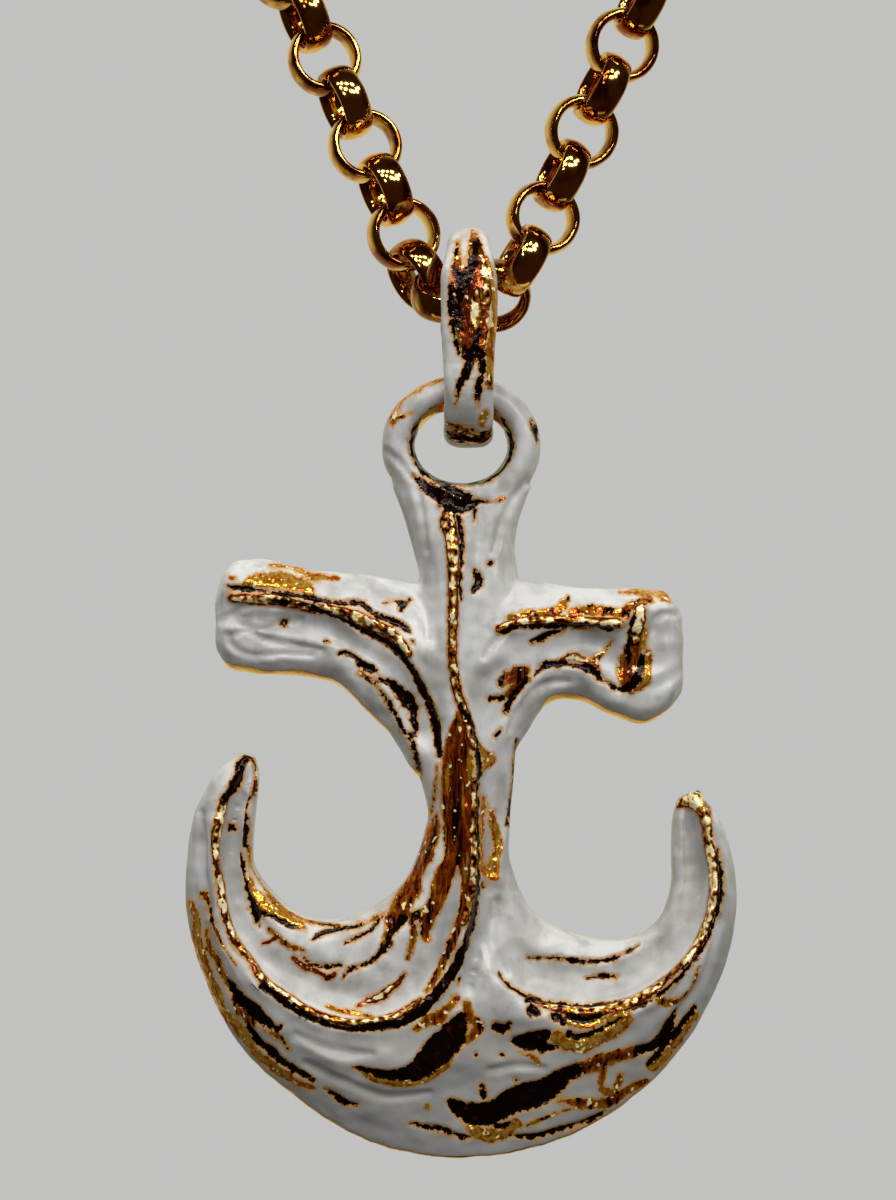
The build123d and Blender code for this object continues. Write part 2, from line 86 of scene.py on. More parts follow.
# Charts of the rubbed places, as seen from the front: x and z from the middle of the crown, and
# the half width there. Each list is one stroke.
ANCHOR_RUBS: dict[Rub, list[Stroke]] = {
    Rub.BRIGHT: [
        # The long ridge: down the shank, and round the left arm to its tip
        [(-1.0, 33.2, 0.45), (-1.2, 32.4, 0.70), (-0.9, 31.0, 0.60), (-0.7, 29.3, 0.55), (-0.7, 26.8, 0.45),
         (-0.8, 23.3, 0.40), (-0.8, 20.0, 0.38), (-0.5, 17.6, 0.38), (0.5, 14.4, 0.40), (1.1, 11.9, 0.40)],
        [(1.2, 8.8, 0.40), (1.2, 4.1, 0.45), (1.1, 0.2, 0.45), (0.8, -1.8, 0.42), (0.2, -3.8, 0.45)],
        [(-3.8, -10.8, 0.30), (-5.0, -11.8, 0.40), (-7.8, -12.7, 0.38), (-9.6, -12.9, 0.34),
         (-11.0, -12.7, 0.38), (-13.9, -11.7, 0.34), (-15.7, -10.4, 0.40), (-16.7, -9.9, 0.45),
         (-17.9, -8.8, 0.42), (-18.7, -7.6, 0.38), (-20.4, -5.3, 0.34), (-21.4, -2.1, 0.38),
         (-21.7, 0.0, 0.38), (-22.1, 2.6, 0.38), (-22.1, 3.6, 0.48), (-21.6, 5.8, 0.38),
         (-21.4, 6.9, 0.42)],
        [(-19.1, 11.3, 0.45), (-18.4, 10.3, 0.40), (-18.2, 9.1, 0.42), (-18.5, 7.9, 0.40)],
        # Right arm, from its tip
        [(19.6, 7.1, 0.70), (20.9, 7.3, 0.80), (21.7, 6.5, 0.60), (22.1, 4.7, 0.50), (22.2, 3.5, 0.50),
         (22.5, 2.1, 0.52), (22.7, -1.3, 0.55), (22.0, -4.1, 0.50), (20.7, -6.7, 0.48), (18.6, -8.7, 0.42),
         (17.2, -9.9, 0.50), (14.9, -11.2, 0.55), (13.4, -11.5, 0.60), (12.0, -11.7, 0.70),
         (11.0, -11.8, 0.60), (8.6, -11.5, 0.45), (7.4, -11.1, 0.40), (6.2, -10.6, 0.35)],
        # Stock, left and right
        [(-20.6, 25.4, 0.35), (-18.6, 25.2, 0.50), (-17.2, 25.2, 0.55), (-15.5, 24.9, 0.50),
         (-13.4, 24.4, 0.45), (-11.6, 24.2, 0.50), (-9.6, 23.6, 0.60), (-8.0, 22.9, 0.60),
         (-6.4, 22.1, 0.55), (-5.4, 21.2, 0.50), (-4.8, 20.3, 0.40)],
        [(3.4, 22.5, 0.35), (4.4, 23.0, 0.40), (5.8, 23.2, 0.45), (8.9, 23.3, 0.45), (12.3, 23.1, 0.45),
         (14.3, 23.0, 0.40)],
        [(16.1, 24.1, 0.50), (15.9, 23.0, 0.55), (15.6, 22.2, 0.55), (15.6, 21.2, 0.50)],
        [(9.0, 19.7, 0.25), (10.1, 20.1, 0.30), (10.9, 19.8, 0.30), (12.2, 19.1, 0.25)],
        # Short strokes on the left arm's face, and blobs under the eye
        [(-15.1, -7.1, 0.22), (-14.1, -7.9, 0.28), (-12.9, -8.3, 0.22), (-11.9, -8.8, 0.25),
         (-11.2, -8.3, 0.15)],
        [(-9.3, -11.3, 0.15), (-8.2, -10.8, 0.28), (-7.2, -10.5, 0.35), (-6.5, -9.9, 0.32),
         (-5.8, -9.4, 0.25), (-5.1, -8.6, 0.18)],
        [(-17.9, -5.8, 0.15), (-16.5, -5.2, 0.20)],
        [(-6.5, -5.9, 0.30), (-6.3, -5.6, 0.20)],
        [(-3.5, -3.7, 0.35), (-3.3, -3.4, 0.20)],
        [(-0.8, 34.3, 0.50), (0.6, 34.3, 0.25)],
        [(-1.7, 35.0, 0.25), (-1.9, 33.7, 0.25)],
        [(-0.9, 10.0, 0.16), (-1.0, 6.5, 0.16), (-0.9, 2.6, 0.16)],
    ],
    # Black and deep brown, which also stand for painted shade and the gold's painted dark reflection
    Rub.DARK: [
        # The long ridge's shadow side, laid black as painted shade
        [(-0.1, 15.8, 0.18), (0.9, 13.6, 0.22), (1.4, 11.0, 0.25), (1.6, 8.0, 0.25), (1.6, 1.0, 0.25),
         (1.5, -1.5, 0.28), (1.0, -4.2, 0.38), (0.1, -6.6, 0.45), (-0.9, -8.5, 0.50), (-2.2, -10.2, 0.55),
         (-3.7, -11.8, 0.50), (-5.5, -12.9, 0.40), (-8.0, -13.3, 0.30), (-10.5, -13.4, 0.28),
         (-13.0, -12.7, 0.28), (-15.5, -11.3, 0.28), (-17.8, -9.5, 0.28)],
        [(-0.3, 32.6, 0.25), (0.1, 31.0, 0.25), (0.1, 28.8, 0.18), (-0.1, 26.1, 0.15), (0.1, 25.1, 0.10)],
        # Left arm's tip and inner edge
        [(-19.1, 11.2, 0.45), (-19.8, 10.3, 0.50), (-20.0, 9.1, 0.50), (-20.8, 7.9, 0.40),
         (-21.6, 7.0, 0.35)],
        [(-18.9, 7.3, 0.18), (-19.3, 6.5, 0.20), (-19.2, 4.2, 0.22), (-19.3, 3.0, 0.18)],
        [(-19.7, 2.2, 0.18), (-19.5, 1.3, 0.20), (-19.2, -1.1, 0.25), (-18.5, -3.2, 0.35),
         (-18.2, -4.4, 0.10)],
        [(-18.3, -3.0, 0.25), (-17.0, -3.3, 0.20), (-15.5, -4.1, 0.18), (-14.6, -4.4, 0.12)],
        [(-20.6, 4.9, 0.18), (-20.6, 4.4, 0.15)],
        # Strokes across the left arm's face
        [(-13.4, -5.4, 0.08), (-12.7, -4.9, 0.20), (-10.5, -4.4, 0.18), (-8.8, -4.2, 0.10)],
        [(-10.5, -5.7, 0.08), (-9.4, -5.2, 0.18), (-8.4, -4.7, 0.18), (-7.1, -3.2, 0.10)],
        [(-14.3, -7.1, 0.10), (-13.2, -7.7, 0.18), (-12.2, -7.9, 0.18), (-10.8, -7.7, 0.10)],
        [(-10.7, -8.9, 0.12), (-10.0, -8.1, 0.18), (-8.9, -7.8, 0.18), (-7.0, -6.3, 0.22),
         (-6.0, -4.4, 0.30), (-5.1, -3.5, 0.35)],
        # Shank
        [(-2.2, 12.3, 0.20), (-2.0, 11.2, 0.25)],
        [(5.0, 12.5, 0.12), (4.9, 10.7, 0.15), (4.5, 6.6, 0.15), (4.2, 4.8, 0.10)],
        [(2.3, -0.5, 0.15), (2.3, -0.7, 0.10)],
        [(0.0, -9.0, 0.18), (0.0, -9.5, 0.15)],
        [(1.2, 27.8, 0.12), (1.6, 26.9, 0.40), (1.1, 26.0, 0.25)],
        [(2.7, 28.4, 0.25), (2.8, 28.5, 0.15)],
        # Under the eye
        [(-4.2, 36.3, 0.25), (-3.4, 35.7, 0.45), (-2.5, 34.9, 0.60), (-1.6, 34.3, 0.60), (-0.7, 33.7, 0.70),
         (0.5, 33.6, 0.55), (1.4, 34.0, 0.30), (2.6, 34.0, 0.12)],
        [(-2.5, 36.4, 0.25), (-1.6, 35.7, 0.35), (-0.4, 34.9, 0.35), (0.6, 34.3, 0.45)],
        [(1.2, 33.1, 0.15), (1.2, 32.2, 0.10)],
        [(6.3, 41.3, 0.15), (6.6, 40.6, 0.27), (6.8, 39.5, 0.12)],
        # Left stock: over and under its ridge, then the two lines below
        [(-21.2, 26.4, 0.10), (-20.0, 26.2, 0.20), (-16.7, 25.9, 0.20), (-13.4, 25.3, 0.25),
         (-11.0, 24.9, 0.22), (-9.1, 24.9, 0.25), (-7.9, 24.0, 0.25), (-6.4, 23.3, 0.30),
         (-5.2, 22.8, 0.30), (-4.6, 22.3, 0.15)],
        [(-16.9, 24.9, 0.22), (-15.0, 24.9, 0.22), (-12.7, 24.2, 0.25), (-10.5, 23.3, 0.28),
         (-8.3, 22.1, 0.30), (-6.3, 21.1, 0.30), (-5.4, 20.2, 0.32), (-4.2, 18.4, 0.36),
         (-3.1, 16.2, 0.42), (-2.4, 14.0, 0.38), (-2.2, 12.7, 0.32), (-2.0, 11.2, 0.25)],
        [(-4.4, 21.4, 0.18), (-4.3, 21.2, 0.12)],
        [(-7.0, 24.9, 0.10), (-5.7, 25.0, 0.12), (-5.3, 24.7, 0.25), (-4.5, 25.3, 0.10)],
        [(-5.3, 24.7, 0.22), (-5.4, 24.2, 0.15)],
        [(-11.1, 20.2, 0.12), (-10.7, 20.5, 0.18), (-10.0, 20.2, 0.20), (-9.2, 19.6, 0.25),
         (-8.6, 19.1, 0.42), (-8.1, 18.9, 0.42)],
        [(-7.4, 18.0, 0.15), (-6.5, 17.7, 0.28), (-5.7, 17.0, 0.40), (-5.0, 16.2, 0.52),
         (-4.5, 15.4, 0.46), (-4.3, 14.3, 0.28), (-4.1, 13.0, 0.10)],
        [(-8.6, 18.1, 0.08), (-7.0, 16.6, 0.15), (-6.1, 15.1, 0.18), (-5.0, 13.0, 0.15)],
        [(-4.6, 13.0, 0.20), (-4.0, 10.7, 0.20), (-3.8, 9.2, 0.18)],
        [(-4.0, 8.0, 0.18), (-4.0, 6.5, 0.15)],
        [(-16.2, 23.0, 0.15), (-15.8, 23.0, 0.15)],
        [(-12.2, 21.5, 0.22), (-12.0, 21.4, 0.15)],
        # Right stock: its ridge's lower side, its end and its lower edge
        [(3.6, 22.4, 0.20), (5.0, 22.7, 0.20), (8.0, 22.8, 0.22), (11.0, 22.8, 0.22), (13.5, 22.5, 0.30)],
        [(15.5, 23.6, 0.14), (15.2, 22.2, 0.20), (15.1, 21.0, 0.22), (15.0, 19.6, 0.20)],
        [(16.3, 20.4, 0.20), (16.1, 19.0, 0.34), (15.6, 17.7, 0.40), (14.6, 17.1, 0.36)],
        [(13.4, 17.5, 0.18), (14.3, 17.1, 0.22), (15.3, 17.1, 0.22)],
        [(6.4, 21.2, 0.10), (7.3, 21.5, 0.26), (8.3, 22.0, 0.20), (9.3, 22.3, 0.10)],
        [(6.6, 18.4, 0.12), (7.6, 19.3, 0.28), (8.8, 19.4, 0.26), (10.1, 19.3, 0.28), (11.1, 19.1, 0.34),
         (12.0, 18.7, 0.34), (12.7, 17.9, 0.26), (13.3, 17.7, 0.18)],
        [(5.7, 17.7, 0.20), (4.8, 16.7, 0.25), (4.0, 15.2, 0.22), (3.9, 14.8, 0.12)],
        [(2.5, 16.3, 0.22), (3.8, 16.3, 0.22)],
        [(3.5, 13.5, 0.15), (3.0, 12.8, 0.12)],
        # Crown: the left swoosh, blotches, and the right swoosh with its spike
        [(-9.6, -16.9, 0.08), (-8.2, -17.3, 0.25), (-6.6, -17.6, 0.45), (-5.3, -17.6, 0.60),
         (-4.0, -17.2, 0.90), (-2.8, -16.2, 1.20), (-1.8, -15.2, 1.30), (-0.9, -14.3, 1.20),
         (-0.3, -13.3, 0.90), (0.1, -12.6, 0.60)],
        [(3.1, -13.2, 0.35), (3.9, -13.5, 0.45), (4.3, -13.0, 0.25)],
        [(6.5, -11.8, 0.60), (6.7, -11.9, 0.45)],
        [(8.5, -12.4, 0.50), (9.3, -12.9, 0.30)],
        [(4.8, -14.5, 0.35), (6.1, -14.6, 0.85), (7.6, -14.0, 0.50)],
        [(7.2, -15.2, 0.50), (8.5, -15.2, 0.25)],
        [(1.3, -15.7, 0.15), (1.4, -15.8, 0.12)],
        [(3.5, -15.8, 0.18), (3.7, -15.8, 0.12)],
        [(4.9, -18.1, 0.15), (5.0, -18.2, 0.12)],
        [(9.7, -13.9, 0.30), (10.5, -14.2, 0.32), (11.8, -13.8, 0.25), (13.1, -13.2, 0.20),
         (14.5, -12.4, 0.12)],
        [(-0.9, -20.0, 0.30), (0.2, -20.9, 0.80), (1.5, -21.2, 1.05), (3.0, -20.9, 0.95),
         (4.4, -20.1, 1.15), (5.7, -19.6, 1.20), (7.6, -19.0, 1.05), (9.0, -17.9, 0.80),
         (10.3, -17.2, 0.60)],
        [(1.9, -18.5, 0.15), (2.0, -19.6, 0.30)],
        [(16.0, -15.4, 0.42), (17.3, -15.0, 0.45), (18.1, -14.4, 0.55), (18.6, -13.4, 0.45),
         (19.2, -12.3, 0.28), (19.4, -11.9, 0.15)],
        [(16.9, -16.6, 0.20), (17.7, -15.8, 0.30), (18.5, -14.5, 0.35), (19.5, -13.6, 0.30),
         (20.3, -12.6, 0.30), (21.0, -11.5, 0.20)],
        # Crown's bottom edge
        [(4.4, -23.1, 0.12), (6.3, -23.1, 0.20), (9.5, -22.3, 0.22), (11.2, -21.8, 0.20),
         (12.8, -21.0, 0.12)],
        [(1.5, -21.9, 0.22), (2.6, -21.8, 0.25), (3.5, -22.3, 0.28), (4.4, -22.0, 0.20)],
        [(-4.7, -21.9, 0.10), (-3.6, -22.2, 0.18), (-2.3, -22.4, 0.28), (-1.3, -22.6, 0.22),
         (-0.3, -23.1, 0.20), (0.9, -23.3, 0.12)],
        [(-12.2, -18.9, 0.12), (-11.3, -19.5, 0.22), (-10.3, -20.1, 0.22), (-9.4, -20.3, 0.10)],
        # Outer side of the left arm
        [(-21.2, -9.3, 0.20), (-20.0, -10.9, 0.45), (-18.7, -12.0, 0.55), (-17.5, -13.1, 0.35),
         (-16.7, -13.6, 0.25), (-16.3, -13.3, 0.12)],
        [(-19.2, -13.1, 0.20), (-18.5, -14.2, 0.30), (-17.9, -14.9, 0.36), (-17.1, -15.4, 0.36),
         (-16.3, -16.3, 0.34), (-15.1, -17.1, 0.30), (-14.2, -17.5, 0.30), (-13.4, -18.1, 0.15)],
        # Right arm's inner face, and both sides of its ridge
        [(6.0, -7.1, 0.08), (9.5, -7.2, 0.18), (11.0, -7.4, 0.20), (13.8, -7.1, 0.16), (15.9, -5.9, 0.08)],
        [(11.2, -8.9, 0.08), (12.0, -8.7, 0.14), (14.1, -8.7, 0.14)],
        [(3.6, -8.4, 0.18), (4.5, -9.6, 0.20), (5.7, -10.4, 0.20)],
        [(5.9, -10.8, 0.20), (8.0, -11.0, 0.22), (10.4, -11.3, 0.25), (12.4, -11.3, 0.25),
         (14.0, -11.0, 0.20)],
        [(9.6, -12.3, 0.30), (11.3, -12.7, 0.35), (12.5, -12.2, 0.30)],
        [(15.4, -11.7, 0.16), (17.8, -10.4, 0.18), (20.0, -8.4, 0.18), (21.9, -5.9, 0.18),
         (23.1, -2.8, 0.20), (23.4, -0.2, 0.20), (23.1, 2.6, 0.16)],
    ],
    Rub.BROWN: [
        # Lower shank, and its streams into the left arm
        [(0.0, 14.8, 0.50), (-0.3, 12.5, 1.00), (-0.4, 10.5, 1.35), (-0.4, 8.0, 1.45), (-0.3, 5.5, 1.40),
         (0.0, 3.0, 1.50), (0.2, 1.5, 1.40), (0.3, 0.3, 1.20)],
        [(-2.1, 5.6, 0.40), (-2.6, 4.2, 0.65), (-3.1, 2.9, 0.80), (-3.6, 1.3, 0.85), (-4.1, 0.0, 0.90),
         (-4.8, -1.3, 0.90), (-5.5, -2.5, 0.80), (-6.2, -3.7, 0.70), (-6.6, -4.7, 0.35),
         (-7.0, -5.9, 0.20)],
        [(-0.6, 2.2, 0.90), (-1.2, 0.9, 0.90), (-1.8, -0.6, 0.90), (-2.4, -2.0, 0.85), (-2.9, -3.4, 0.65),
         (-3.1, -4.4, 0.60), (-3.2, -5.3, 0.35)],
        [(0.3, 0.8, 0.50), (0.3, -0.9, 0.45), (0.0, -2.7, 0.45), (-0.5, -4.4, 0.40), (-1.0, -5.8, 0.40),
         (-1.7, -7.3, 0.38), (-2.4, -8.7, 0.35), (-3.1, -9.9, 0.30)],
        [(-5.0, -3.0, 0.50), (-4.2, -3.2, 0.40), (-3.6, -3.0, 0.40)],
        [(-4.5, -3.7, 0.30), (-4.3, -4.7, 0.25), (-4.4, -5.9, 0.25), (-4.8, -7.1, 0.20)],
        [(-2.1, 10.2, 0.12), (-2.3, 8.5, 0.12), (-2.8, 5.8, 0.10)],
        # Left arm's inner contour and face
        [(-19.0, 2.9, 0.15), (-18.7, 1.5, 0.20), (-17.6, -0.7, 0.25), (-16.0, -2.8, 0.25),
         (-14.3, -3.5, 0.20), (-12.2, -4.0, 0.18), (-9.8, -4.3, 0.15), (-8.8, -4.0, 0.15),
         (-7.1, -3.1, 0.10)],
        [(-17.4, -4.5, 0.10), (-16.5, -5.2, 0.22), (-15.7, -5.9, 0.22), (-14.1, -6.4, 0.12)],
        [(-11.9, -11.3, 0.10), (-10.7, -11.7, 0.15), (-9.3, -11.9, 0.18), (-8.1, -12.3, 0.15)],
        # Crown
        [(-0.4, -10.8, 0.35), (-1.0, -11.5, 0.30), (-2.0, -12.5, 0.60), (-3.0, -12.8, 0.50),
         (-4.0, -13.5, 0.35)],
        [(0.6, -11.2, 0.35), (0.8, -12.4, 0.45), (1.7, -13.2, 0.40), (0.9, -14.1, 0.40),
         (0.0, -14.6, 0.35)],
        [(10.3, -17.2, 0.60), (12.8, -16.3, 0.60), (14.4, -15.8, 0.55), (16.0, -15.4, 0.45)],
        [(17.6, -10.8, 0.20), (18.5, -11.1, 0.35), (19.4, -11.0, 0.30), (20.2, -10.5, 0.20),
         (20.8, -9.7, 0.12), (21.4, -7.9, 0.08)],
        [(12.8, -17.1, 0.30), (12.6, -17.9, 0.28), (12.8, -18.9, 0.30), (13.6, -19.1, 0.30),
         (14.2, -18.4, 0.28), (14.4, -17.6, 0.20)],
        [(8.7, -20.0, 0.12), (10.2, -20.0, 0.35), (11.8, -20.2, 0.45), (13.2, -20.0, 0.45),
         (14.4, -19.3, 0.42), (16.6, -18.2, 0.30)],
        [(5.9, -22.1, 0.08), (7.6, -21.4, 0.10), (9.5, -20.8, 0.10), (11.2, -20.6, 0.08)],
        # Outer side of the left arm
        [(-20.6, -10.3, 0.35), (-19.6, -11.9, 0.60), (-18.9, -12.8, 0.50)],
        [(-23.6, -1.3, 0.12), (-23.0, -3.0, 0.18), (-21.8, -5.7, 0.20), (-20.3, -7.6, 0.10)],
        [(-23.2, -4.7, 0.15), (-22.7, -6.4, 0.20), (-21.8, -8.2, 0.20), (-21.1, -9.7, 0.20)],
        [(-17.1, -13.8, 0.20), (-16.3, -14.4, 0.20), (-15.5, -15.2, 0.12)],
        # Ragged patches of the right stock
        [(4.3, 23.5, 0.30), (6.0, 23.9, 0.30), (8.5, 24.1, 0.40), (9.3, 24.8, 0.35), (9.6, 25.3, 0.12)],
        [(10.0, 24.0, 0.35), (11.6, 24.2, 0.45), (13.3, 24.1, 0.45), (14.9, 23.8, 0.40)],
        [(15.0, 24.4, 0.40), (16.0, 24.8, 0.40), (17.0, 25.2, 0.30)],
        [(16.0, 24.0, 0.50), (15.8, 22.6, 0.60), (15.6, 21.2, 0.70), (15.3, 19.8, 0.95), (15.1, 18.6, 0.98),
         (14.9, 17.8, 0.70)],
        [(11.7, 19.5, 0.35), (12.6, 20.2, 0.20), (13.6, 21.4, 0.05)],
        [(3.7, 17.8, 0.50), (4.8, 18.4, 0.70), (5.8, 18.8, 0.45)],
        [(4.4, 16.7, 0.50), (5.1, 17.4, 0.50), (5.8, 18.1, 0.40)],
        # Eye's rim
        [(-6.1, 41.5, 0.35), (-5.4, 41.7, 0.18), (-4.2, 42.1, 0.08)],
        [(3.2, 34.1, 0.10), (3.8, 34.3, 0.12)],
    ],
    Rub.OCHRE: [
        # Left arm's inner contour, and right of the shank
        [(-19.0, 0.1, 0.20), (-18.8, -0.9, 0.35), (-18.4, -1.8, 0.65), (-17.7, -2.5, 0.55),
         (-16.7, -3.0, 0.40), (-15.7, -3.5, 0.35), (-14.6, -4.0, 0.30), (-14.1, -4.4, 0.20)],
        [(1.6, 12.2, 0.20), (1.9, 11.4, 0.40), (2.6, 10.8, 0.40), (1.9, 10.1, 0.35), (1.6, 9.2, 0.15)],
        [(2.2, 7.6, 0.12), (2.3, 6.5, 0.20), (2.1, 5.2, 0.25), (2.0, 3.3, 0.25), (2.4, 0.6, 0.25),
         (3.1, 0.1, 0.30)],
        [(3.0, 6.1, 0.15), (3.2, 4.2, 0.30), (3.4, 3.0, 0.30), (3.0, 1.5, 0.30), (3.2, 0.1, 0.30)],
        # Crown
        [(-9.4, -17.0, 0.10), (-8.1, -17.8, 0.18), (-6.5, -18.2, 0.25), (-4.5, -18.3, 0.28),
         (-2.9, -17.8, 0.25), (-1.6, -17.1, 0.22), (-0.7, -15.8, 0.22), (0.6, -14.1, 0.15)],
        [(5.1, -15.5, 0.15), (6.4, -16.0, 0.20), (7.0, -16.6, 0.12)],
        [(8.6, -14.3, 0.55), (10.3, -14.6, 0.60), (12.1, -14.1, 0.55), (14.3, -13.3, 0.45),
         (15.2, -12.6, 0.30)],
        [(9.5, -15.0, 0.50), (11.5, -15.0, 0.45), (12.8, -14.2, 0.40), (14.1, -13.6, 0.35)],
        [(8.9, -12.6, 0.40), (11.2, -12.9, 0.50), (13.6, -12.6, 0.50), (14.9, -12.1, 0.40)],
        [(17.2, -17.0, 0.30), (18.0, -16.2, 0.35), (19.0, -15.0, 0.35), (20.0, -13.8, 0.30),
         (21.1, -12.2, 0.25)],
        [(0.5, -21.8, 0.30), (1.5, -22.8, 0.50), (2.7, -23.0, 0.60), (3.9, -22.9, 0.45),
         (5.0, -22.0, 0.40)],
        [(-3.0, -20.4, 0.20), (-2.9, -20.5, 0.15)],
        # The rims of both arms
        [(13.6, -21.8, 0.25), (16.0, -19.8, 0.35), (17.6, -18.4, 0.40), (19.2, -16.8, 0.40),
         (20.5, -15.2, 0.35)],
        [(-24.5, -2.1, 0.20), (-24.0, -3.8, 0.30), (-23.7, -6.1, 0.35), (-23.1, -8.2, 0.40),
         (-22.2, -10.0, 0.42), (-21.2, -12.1, 0.42), (-19.8, -13.5, 0.40), (-18.7, -15.2, 0.35),
         (-17.4, -16.5, 0.35), (-16.1, -17.4, 0.35), (-14.8, -18.3, 0.30), (-13.5, -18.7, 0.20)],
        # Top of the left stock, and the end of the right
        [(-19.5, 26.4, 0.25), (-18.0, 26.9, 0.65), (-16.6, 26.9, 0.70), (-15.2, 26.8, 0.70),
         (-13.9, 26.2, 0.50), (-13.5, 25.4, 0.30)],
        [(-20.8, 27.2, 0.20), (-20.4, 27.1, 0.15)],
        [(-17.3, 28.3, 0.10), (-14.5, 27.9, 0.15), (-13.4, 27.3, 0.20), (-11.1, 27.1, 0.20)],
        [(-9.2, 18.7, 0.15), (-8.3, 18.1, 0.15)],
        [(10.0, 22.5, 0.12), (12.3, 22.5, 0.12)],
        [(14.2, 25.8, 0.10), (16.3, 25.9, 0.25), (17.3, 25.9, 0.35), (18.2, 25.4, 0.30),
         (18.7, 25.0, 0.15)],
        [(16.5, 22.5, 0.20), (16.5, 21.2, 0.20), (16.7, 20.1, 0.33), (16.7, 18.7, 0.36), (16.6, 17.7, 0.30),
         (15.9, 17.2, 0.22), (15.2, 16.9, 0.18)],
        # Eye's rim
        [(-1.6, 45.3, 0.27), (-2.7, 44.9, 0.27), (-3.9, 44.2, 0.27), (-4.9, 43.7, 0.25), (-5.7, 43.0, 0.27),
         (-6.1, 42.1, 0.27), (-6.3, 41.0, 0.25), (-6.3, 40.7, 0.10)],
    ],
}

# Islands of enamel left standing in the rubbed places
ANCHOR_ISLANDS: list[Stroke] = [
    [(-1.7, 3.1, 0.22), (-1.9, 1.8, 0.28), (-2.7, 1.0, 0.42), (-3.2, -0.2, 0.45), (-3.1, -1.1, 0.40),
     (-3.6, -2.1, 0.38), (-4.5, -2.8, 0.18)],
    [(-0.3, 1.2, 0.08), (-0.6, -0.5, 0.45), (-0.9, -1.9, 0.60), (-1.5, -3.4, 0.75), (-2.2, -5.0, 0.80)],
    [(-1.9, 10.2, 0.18), (-2.0, 8.5, 0.22), (-2.1, 6.5, 0.22), (-1.7, 5.0, 0.20)],
    [(-19.0, 10.3, 0.30), (-19.2, 9.3, 0.45), (-19.4, 8.7, 0.30)],
    [(11.0, -13.7, 0.12), (12.3, -13.2, 0.15), (13.0, -12.8, 0.12)],
    [(14.6, 22.8, 0.30), (14.7, 22.7, 0.20)],
]

# The long ridge's crest, which stands up, and the foot on its shadow side, which lies deep
ANCHOR_RIDGES: list[Stroke] = [
    [(-1.1, 33.3, 0.45), (-0.7, 26.8, 0.35), (-0.5, 18.1, 0.35), (1.1, 11.9, 0.35), (1.4, 4.1, 0.35),
     (1.2, -3.0, 0.35), (0.1, -6.9, 0.35), (-2.2, -10.2, 0.40), (-5.0, -12.3, 0.40), (-9.6, -12.9, 0.35),
     (-14.0, -11.7, 0.35), (-17.5, -9.2, 0.35), (-20.3, -5.3, 0.35), (-21.6, -1.1, 0.35),
     (-22.1, 3.5, 0.35), (-21.3, 6.8, 0.35), (-19.9, 9.7, 0.35), (-19.1, 11.1, 0.30)],
    [(20.9, 7.3, 0.50), (22.2, 3.5, 0.40), (22.7, -1.3, 0.40), (20.7, -6.7, 0.35), (17.2, -9.9, 0.35),
     (13.4, -11.5, 0.50), (8.6, -11.5, 0.35), (5.0, -10.0, 0.25)],
    [(-20.6, 25.4, 0.25), (-17.2, 25.3, 0.40), (-11.6, 24.3, 0.40), (-6.4, 22.2, 0.40), (-4.2, 19.4, 0.30),
     (-2.8, 15.6, 0.25)],
    [(3.4, 22.5, 0.30), (8.9, 23.3, 0.40), (14.3, 23.2, 0.40), (16.3, 24.3, 0.40)],
    [(16.2, 23.8, 0.40), (16.2, 20.6, 0.40), (15.2, 17.2, 0.35)],
]
ANCHOR_HOLLOWS: list[Stroke] = [
    [(2.2, 8.0, 0.30), (2.4, 1.0, 0.35), (2.1, -4.2, 0.40), (0.9, -7.6, 0.45), (-1.2, -10.7, 0.50),
     (-4.2, -13.3, 0.50), (-9.0, -14.3, 0.40), (-14.0, -13.2, 0.40), (-18.6, -10.2, 0.40),
     (-21.6, -6.0, 0.35), (-23.0, -1.2, 0.30), (-23.4, 3.2, 0.25)],
    [(-20.3, 6.4, 0.20), (-20.6, 1.6, 0.40), (-19.6, -3.6, 0.50), (-16.4, -7.8, 0.70), (-12.0, -10.6, 0.80),
     (-7.6, -11.0, 0.80), (-4.0, -9.0, 0.60), (-1.6, -5.0, 0.45), (-0.4, -0.4, 0.25)],
    [(20.9, 4.4, 0.25), (21.2, 0.4, 0.45), (20.4, -4.2, 0.60), (17.2, -8.0, 0.80), (12.4, -9.8, 0.80),
     (7.6, -9.6, 0.60), (4.4, -7.6, 0.40)],
    [(-16.6, 24.0, 0.25), (-11.4, 22.9, 0.35), (-6.8, 20.6, 0.40), (-4.6, 17.2, 0.30), (-3.4, 13.6, 0.25)],
    [(4.4, 21.8, 0.25), (8.8, 21.6, 0.50), (13.2, 21.0, 0.50), (14.2, 19.2, 0.30)],
]

